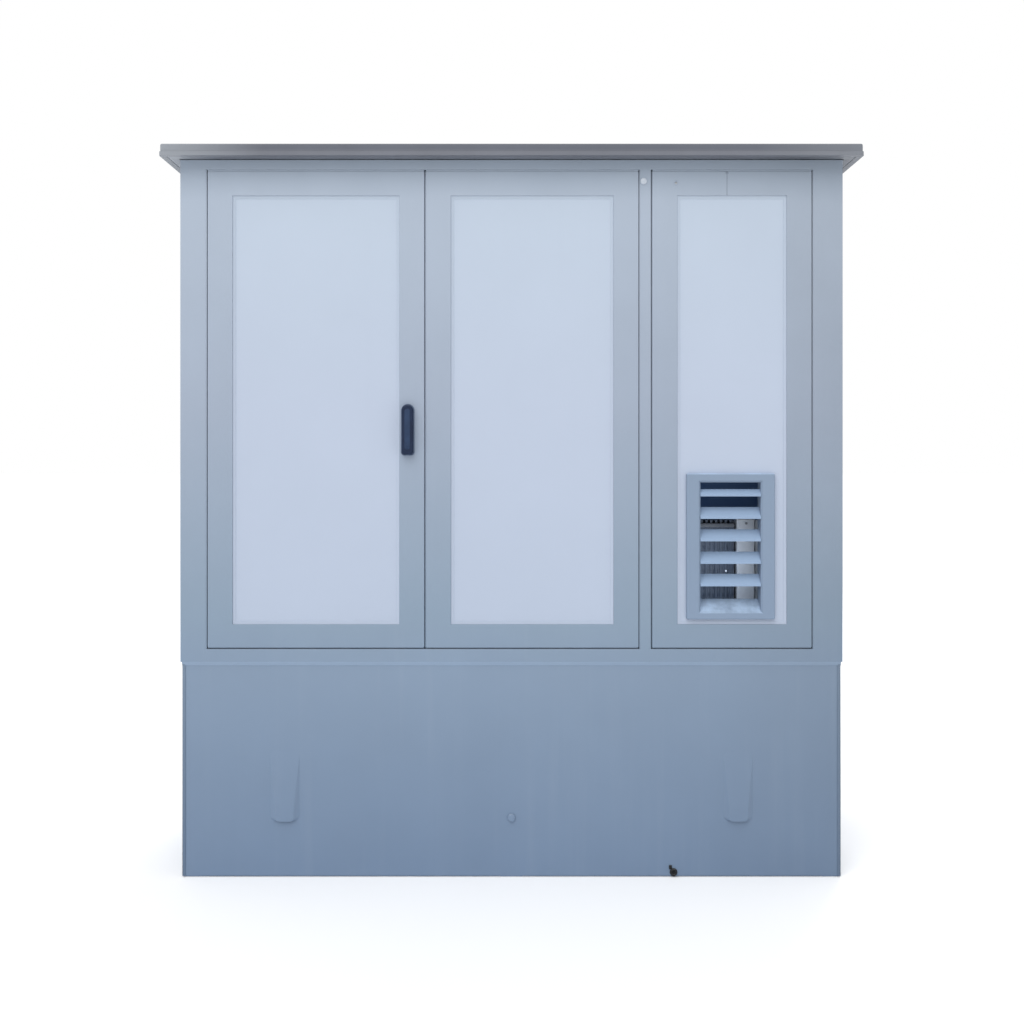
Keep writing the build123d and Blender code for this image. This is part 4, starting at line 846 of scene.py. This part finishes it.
# rivets of the back and side sheets
rivets = {
    "flangeInset": 0.0125, "flangeLevels": [0.640 + 0.157 * i for i in range(9)],
    "backRows": (0.606, 1.930), "backPlaces": [-0.78 + 0.195 * i for i in range(9)],
    "sideSetback": 0.016, "rivet": (0.0062, 0.0028, 10),
}
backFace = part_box("back_sheet")[1].y
sideLow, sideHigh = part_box("right_side_sheet")
mesh = bmesh.new()
for hand in (-1, 1):
    flangeX, sideX = hand * (sideHigh.x - rivets["flangeInset"]), hand * sideHigh.x
    for level in rivets["flangeLevels"]:
        sidePlace = (sideX, sideLow.y + rivets["sideSetback"], level)
        addHead(mesh, "dome", (flangeX, sideHigh.y, level), rivets["rivet"], towardBack)
        addHead(mesh, "dome", sidePlace, rivets["rivet"], (hand, 0, 0))
for level in rivets["backRows"]:
    for x in rivets["backPlaces"]:
        addHead(mesh, "dome", (x, backFace, level), rivets["rivet"], towardBack)
finishPiece("sheet_rivets", mesh, "blueGreyPaint")


# sealing screws of the roof, square to its slope; profile: head, then washer
roofScrews = {
    "places": [-0.80 + 0.32 * i for i in range(6)], "depth": 0.300, "eavesInset": 0.0025, "eavesRise": 0.032,
    "ridgeY": 0.012, "steps": 12,
    "profile": [
        (0, 0.0062), (0.00496, 0.0062), (0.0062, 0.0052), (0.0062, 0.0022), (0.008, 0.0020), (0.010, 0.0008),
        (0.010, -rootDepth), (0, -rootDepth),
    ],
}
roofLow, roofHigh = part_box("roof_cap")
eavesY, eavesZ = roofHigh.y - roofScrews["eavesInset"], roofLow.z + roofScrews["eavesRise"]
slope = (roofHigh.z - eavesZ) / (eavesY - roofScrews["ridgeY"])
level = eavesZ + slope * (eavesY - roofScrews["depth"])
mesh = bmesh.new()
for hand in (-1, 1):
    for x in roofScrews["places"]:
        place, outward = (x, hand * roofScrews["depth"], level), (0, hand * slope, 1)
        addTurned(mesh, place, outward, roofScrews["profile"], roofScrews["steps"])
finishPiece("roof_screws", mesh, "roofPaint")
print("fasteners made")


# earth stud low on the left end of the plinth; profile: stud, nut, then washer
earthStud = {
    "y": 0.190, "z": 0.120, "facets": 6,
    "profile": [
        (0, 0.022), (0.0032, 0.022), (0.004, 0.021), (0.004, 0.0075), (0.0065, 0.0075), (0.0072, 0.0066),
        (0.0072, 0.0030), (0.0105, 0.0030), (0.0112, 0.0020), (0.0112, 0.0), (0.0112, -rootDepth),
        (0, -rootDepth),
    ],
}
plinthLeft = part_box("plinth_frame")[0].x
mesh = bmesh.new()
studPlace = (plinthLeft, earthStud["y"], earthStud["z"])
addTurned(mesh, studPlace, (-1, 0, 0), earthStud["profile"], earthStud["facets"])
finishPiece("plinth_earth_stud", mesh, "brassBar")
print("earth stud made")


# rack unit fronts: sunk vents and ports, bar handles, ear screws and lamps
# vents and ports: first and end column, first and end row of the cells
rack = {
    "units": [
        {"z": (0.915, 1.047), "cells": (46, 9), "vents": (14, 38, 2, 7), "ports": (5, 12, 3, 5)},
        {"z": (1.305, 1.349), "cells": (46, 5), "vents": (32, 44, 1, 4), "ports": (4, 28, 2, 3)},
        {"z": (1.375, 1.419), "cells": (46, 5), "vents": (4, 14, 1, 4), "ports": (18, 42, 2, 3)},
    ],
    "earWidth": 0.024, "plate": 0.0030, "edge": 0.001, "rim": 0.0016, "sink": 0.0022,
    "screwInset": (0.009, 0.011), "screw": (0.0042, 0.0024, 12),
    "handleInset": (0.045, 0.026), "handleReach": 0.030, "handleBar": 0.0042, "footShare": 1.7,
    "footTop": 0.003, "footEdge": 0.002, "footSteps": 14, "barInset": 0.020, "barRound": 0.8, "barSteps": 4,
    "lampRows": ((1.030, 4), (1.340, 3), (1.410, 3)), "lampX": -0.735, "lampPitch": 0.011,
    "lamp": (0.0019, 0.0012, 10),
}
low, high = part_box("rack_units")
plateFront, edge = low.y - rack["plate"], rack["edge"]
x0, x1 = low.x + rack["earWidth"], high.x - rack["earWidth"]
inX, inZ = rack["screwInset"]
mesh, screws, bars, lamps = bmesh.new(), bmesh.new(), bmesh.new(), bmesh.new()
for unit in rack["units"]:
    z0, z1 = unit["z"]
    areas = (unit["vents"], unit["ports"])
    openCells = {(c, r) for c0, c1, r0, r1 in areas for c in range(c0, c1) for r in range(r0, r1)}
    addFacePlate(
        mesh, (x0, plateFront, z0 + edge), (x1, low.y, z1 - edge), unit["cells"], openCells,
        rack["rim"], rack["sink"],
    )
    addScrews(screws, (low.x + inX, high.x - inX), low.y, (z0 + inZ, z1 - inZ), rack["screw"])
z0, z1 = rack["units"][0]["z"]
reach, bar, barInset = rack["handleReach"], rack["handleBar"], rack["barInset"]
foot = bar * rack["footShare"]
post = [
    (0, reach), (bar, reach), (bar, rack["footTop"]), (foot, rack["footEdge"]),
    (foot, -rootDepth), (0, -rootDepth),
]
inX, inZ = rack["handleInset"]
barY = plateFront - reach
for x in (low.x + inX, high.x - inX):
    for z in (z0 + inZ, z1 - inZ):
        addTurned(bars, (x, plateFront, z), towardFront, post, rack["footSteps"])
    addBlock(
        bars, (x - bar, barY - bar, z0 + barInset), (x + bar, barY + bar, z1 - barInset),
        bar * rack["barRound"], rack["barSteps"],
    )
for level, count in rack["lampRows"]:
    for i in range(count):
        lampPlace = (rack["lampX"] + rack["lampPitch"] * i, plateFront, level)
        addHead(lamps, "dome", lampPlace, rack["lamp"])
finishPiece("rack_unit_fronts", mesh, "rackFace")
finishPiece("rack_unit_screws", screws, "brightSteel")
finishPiece("rack_unit_handles", bars, "brightSteel")
finishPiece("rack_unit_lamps", lamps, "greenLens")
print("rack fronts made")


# terminal screws and markers on the mounting plate
terminals = {
    "count": 14, "inset": 0.007, "setback": 0.014, "screw": (0.0032, 0.0012, 10), "markerHalf": 0.00375,
    "markerInset": 0.001, "markerProud": 0.0012, "markerRoot": 0.0004, "markerRim": 0.0008,
    "markerSink": 0.0006,
}
low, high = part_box("terminal_blocks")
mesh = bmesh.new()
count, inset = terminals["count"], terminals["inset"]
pitch = (high.x - low.x) / count
places = [low.x + pitch * (i + 0.5) for i in range(count)]
zRows = (low.z + inset, high.z - inset)
addScrews(mesh, places, low.y + terminals["setback"], zRows, terminals["screw"])
finishPiece("terminal_screws", mesh, "brightSteel")
middleZ, half, inset = (low.z + high.z) / 2, terminals["markerHalf"], terminals["markerInset"]
mesh = bmesh.new()
addFacePlate(
    mesh, (low.x + inset, low.y - terminals["markerProud"], middleZ - half),
    (high.x - inset, low.y + terminals["markerRoot"], middleZ + half), (count, 1),
    {(column, 0) for column in range(count)}, terminals["markerRim"], terminals["markerSink"],
)
finishPiece("terminal_markers", mesh, "whitePlastic")


# breaker screws
breaker = {
    "count": 5, "start": 0.009, "pitch": 0.018, "inset": 0.010, "setback": 0.014,
    "screw": (0.0046, 0.0012, 14),
}
low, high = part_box("main_breaker")
mesh = bmesh.new()
places = [low.x + breaker["start"] + breaker["pitch"] * i for i in range(breaker["count"])]
zRows = (low.z + breaker["inset"], high.z - breaker["inset"])
addScrews(mesh, places, low.y + breaker["setback"], zRows, breaker["screw"])
finishPiece("breaker_screws", mesh, "brightSteel")


# earth bar screws
earthScrews = {"count": 11, "inset": 0.022, "screw": (0.0050, 0.0034, 12)}
low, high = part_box("earth_bar")
mesh = bmesh.new()
count, inset = earthScrews["count"], earthScrews["inset"]
pitch = (high.x - low.x - 2 * inset) / (count - 1)
places = [low.x + inset + pitch * i for i in range(count)]
addScrews(mesh, places, low.y, [(low.z + high.z) / 2], earthScrews["screw"])
finishPiece("earth_bar_screws", mesh, "brassBar")
print("plate fittings made")


# inside of the doors: stiffening channels
channels = {
    "levels": {"left_door": (0.985, 1.535), "middle_door": (0.985, 1.535), "right_door": (1.535,)},
    "half": 0.016, "flange": 0.012, "sheet": 0.0015, "rise": 0.011, "topShare": 0.75, "margin": 0.014,
    "sharp": 25,
}
half, rise, sheet = channels["half"], channels["rise"], channels["sheet"]
foot, top = half + channels["flange"], half * channels["topShare"]
outline = [
    (-foot, 0.0), (-foot, sheet), (-half, sheet), (-top, rise), (top, rise), (half, sheet), (foot, sheet),
    (foot, 0.0),
]
for door, levels in channels["levels"].items():
    low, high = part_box(door + "_panel")
    mesh = bmesh.new()
    x0, x1 = low.x + channels["margin"], high.x - channels["margin"]
    for level in levels:
        addRun(mesh, x0, x1, [(high.y + out, level + up) for up, out in outline])
    finishPiece(door + "_channels", mesh, "palePaint", door, channels["sharp"])


# pocket for drawings on the inside of the left door
pocket = {
    "low": (-0.690, 1.090), "high": (-0.400, 1.330), "depth": 0.024, "wall": 0.0025, "dip": 0.035,
    "bevel": 0.0008,
}
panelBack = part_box("left_door_panel")[1].y
mesh = bmesh.new()
(x0, z0), (x1, z1) = pocket["low"], pocket["high"]
wall, y0, y1, dipped = pocket["wall"], panelBack, panelBack + pocket["depth"], z1 - pocket["dip"]
for wallLow, wallHigh in (
    ((x0, y0, z0), (x1, y0 + wall, z1)),
    ((x0, y1 - wall, z0), (x1, y1, dipped)),
    ((x0, y0, z0), (x1, y1, z0 + wall)),
    ((x0, y0, z0), (x0 + wall, y1, dipped)),
    ((x1 - wall, y0, z0), (x1, y1, dipped)),
):
    addBlock(mesh, wallLow, wallHigh, pocket["bevel"])
finishPiece("left_door_pocket", mesh, "greyPlastic", "left_door")
print("door insides made")


# white service box: a raised lid with two screws
lid = {
    "margin": 0.004, "thick": 0.0025, "root": 0.0005, "bevel": (0.0015, 3), "screwInset": 0.016,
    "screw": (0.0036, 0.0014, 14),
}
low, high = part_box("white_service_box")
mesh = bmesh.new()
margin, inset, lidFront = lid["margin"], lid["screwInset"], low.y - lid["thick"]
lidHigh = (high.x - margin, low.y + lid["root"], high.z - margin)
addBlock(mesh, (low.x + margin, lidFront, low.z + margin), lidHigh, *lid["bevel"])
finishPiece("service_box_lid", mesh, "whitePlastic")
mesh = bmesh.new()
zRows = (low.z + inset, high.z - inset)
addScrews(mesh, [(low.x + high.x) / 2], lidFront, zRows, lid["screw"])
finishPiece("service_box_screws", mesh, "brightSteel")
print("service box lid made")


# trim of the finned unit: a rail and a comb across the fins, and a baffle between them
finTrim = {
    "bars": (((0.938, 0.950), 0.007), ((0.700, 0.716), 0.004)), "margin": 0.004, "root": 0.001,
    "bevel": (0.0018, 3), "baffleSetback": 0.005, "baffle": 0.0012, "baffleGap": 0.012,
    "baffleCells": (22, 24), "baffleRim": 0.0012, "baffleSink": 0.0006,
}
low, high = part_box("finned_power_unit")
mesh = bmesh.new()
x0, x1 = low.x + finTrim["margin"], high.x - finTrim["margin"]
for (z0, z1), rise in finTrim["bars"]:
    addBlock(mesh, (x0, low.y - rise, z0), (x1, low.y + finTrim["root"], z1), *finTrim["bevel"])
finishPiece("finned_unit_trim", mesh, "trimGrey")
mesh = bmesh.new()
yFront, gap = low.y + finTrim["baffleSetback"], finTrim["baffleGap"]
columns, rows = finTrim["baffleCells"]
addFacePlate(
    mesh, (x0, yFront, low.z + gap), (x1, yFront + finTrim["baffle"], high.z - gap), (columns, rows),
    {(column, row) for column in range(columns) for row in range(0, rows, 2)}, finTrim["baffleRim"],
    finTrim["baffleSink"],
)
finishPiece("finned_unit_baffle", mesh, "finGrey")


# cable cover beside the white box, with two clips
cover = {
    "width": 0.0125, "setback": 0.004, "depth": 0.070, "topGap": 0.006, "bevel": (0.003, 4),
    "clipLow": 0.060, "clipHigh": 0.070, "clipHalf": 0.007, "clipInset": 0.0015, "clipRise": 0.0022,
    "clipRoot": 0.001, "clipBevel": 0.001,
}
low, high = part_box("white_service_box")
mesh = bmesh.new()
x0, x1, yFront = high.x, high.x + cover["width"], low.y + cover["setback"]
coverHigh = (x1, yFront + cover["depth"], high.z - cover["topGap"])
addBlock(mesh, (x0, yFront, low.z), coverHigh, *cover["bevel"])
inset, half = cover["clipInset"], cover["clipHalf"]
for level in (low.z + cover["clipLow"], high.z - cover["clipHigh"]):
    addBlock(
        mesh, (x0 + inset, yFront - cover["clipRise"], level - half),
        (x1 - inset, yFront + cover["clipRoot"], level + half), cover["clipBevel"],
    )
finishPiece("service_box_cable_cover", mesh, "greyPlastic")
print("bay trim made")


# lock case screws on the inside of the left door
caseScrews = {"inset": 0.0055, "screw": (0.0034, 0.0016, 12)}
low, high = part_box("lock_gearbox")
mesh = bmesh.new()
inset = caseScrews["inset"]
xRows, zRows = (low.x + inset, high.x - inset), (low.z + inset, high.z - inset)
addScrews(mesh, xRows, high.y, zRows, caseScrews["screw"], towardBack)
finishPiece("lock_case_screws", mesh, "brightSteel", "left_door")
print("lock case screws made")


# floor: wide, pale and a hair below the plinth
floorLook = {
    "size": 60.0, "drop": 0.0005, "light": (250, 250, 250), "dark": (246, 246, 247), "cloudScale": 0.6,
    "rough": 0.9,
}

floorMesh = bmesh.new()
bmesh.ops.create_grid(floorMesh, x_segments=2, y_segments=2, size=floorLook["size"])
bmesh.ops.translate(floorMesh, verts=floorMesh.verts, vec=(0, 0, cadBox[0][2] - floorLook["drop"]))
floorData = bpy.data.meshes.new("studioFloor")
floorMesh.to_mesh(floorData)
floorMesh.free()
floor = bpy.data.objects.new("studioFloor", floorData)
bpy.context.scene.collection.objects.link(floor)
floorMaterial, floorTree, floorShader = newMaterial("studioFloor", Roughness=floorLook["rough"])
floorCloud = addNoise(
    floorTree, stretched(floorTree, (1, 1, 1)), scale=floorLook["cloudScale"], detail=3.0, rough=0.5,
)
floorColour = addMix(
    floorTree, floorCloud, fromPhoto(*floorLook["dark"]), fromPhoto(*floorLook["light"]),
)
floorTree.links.new(floorColour, floorShader.inputs["Base Color"])
floorData.materials.append(floorMaterial)
print("floor laid")
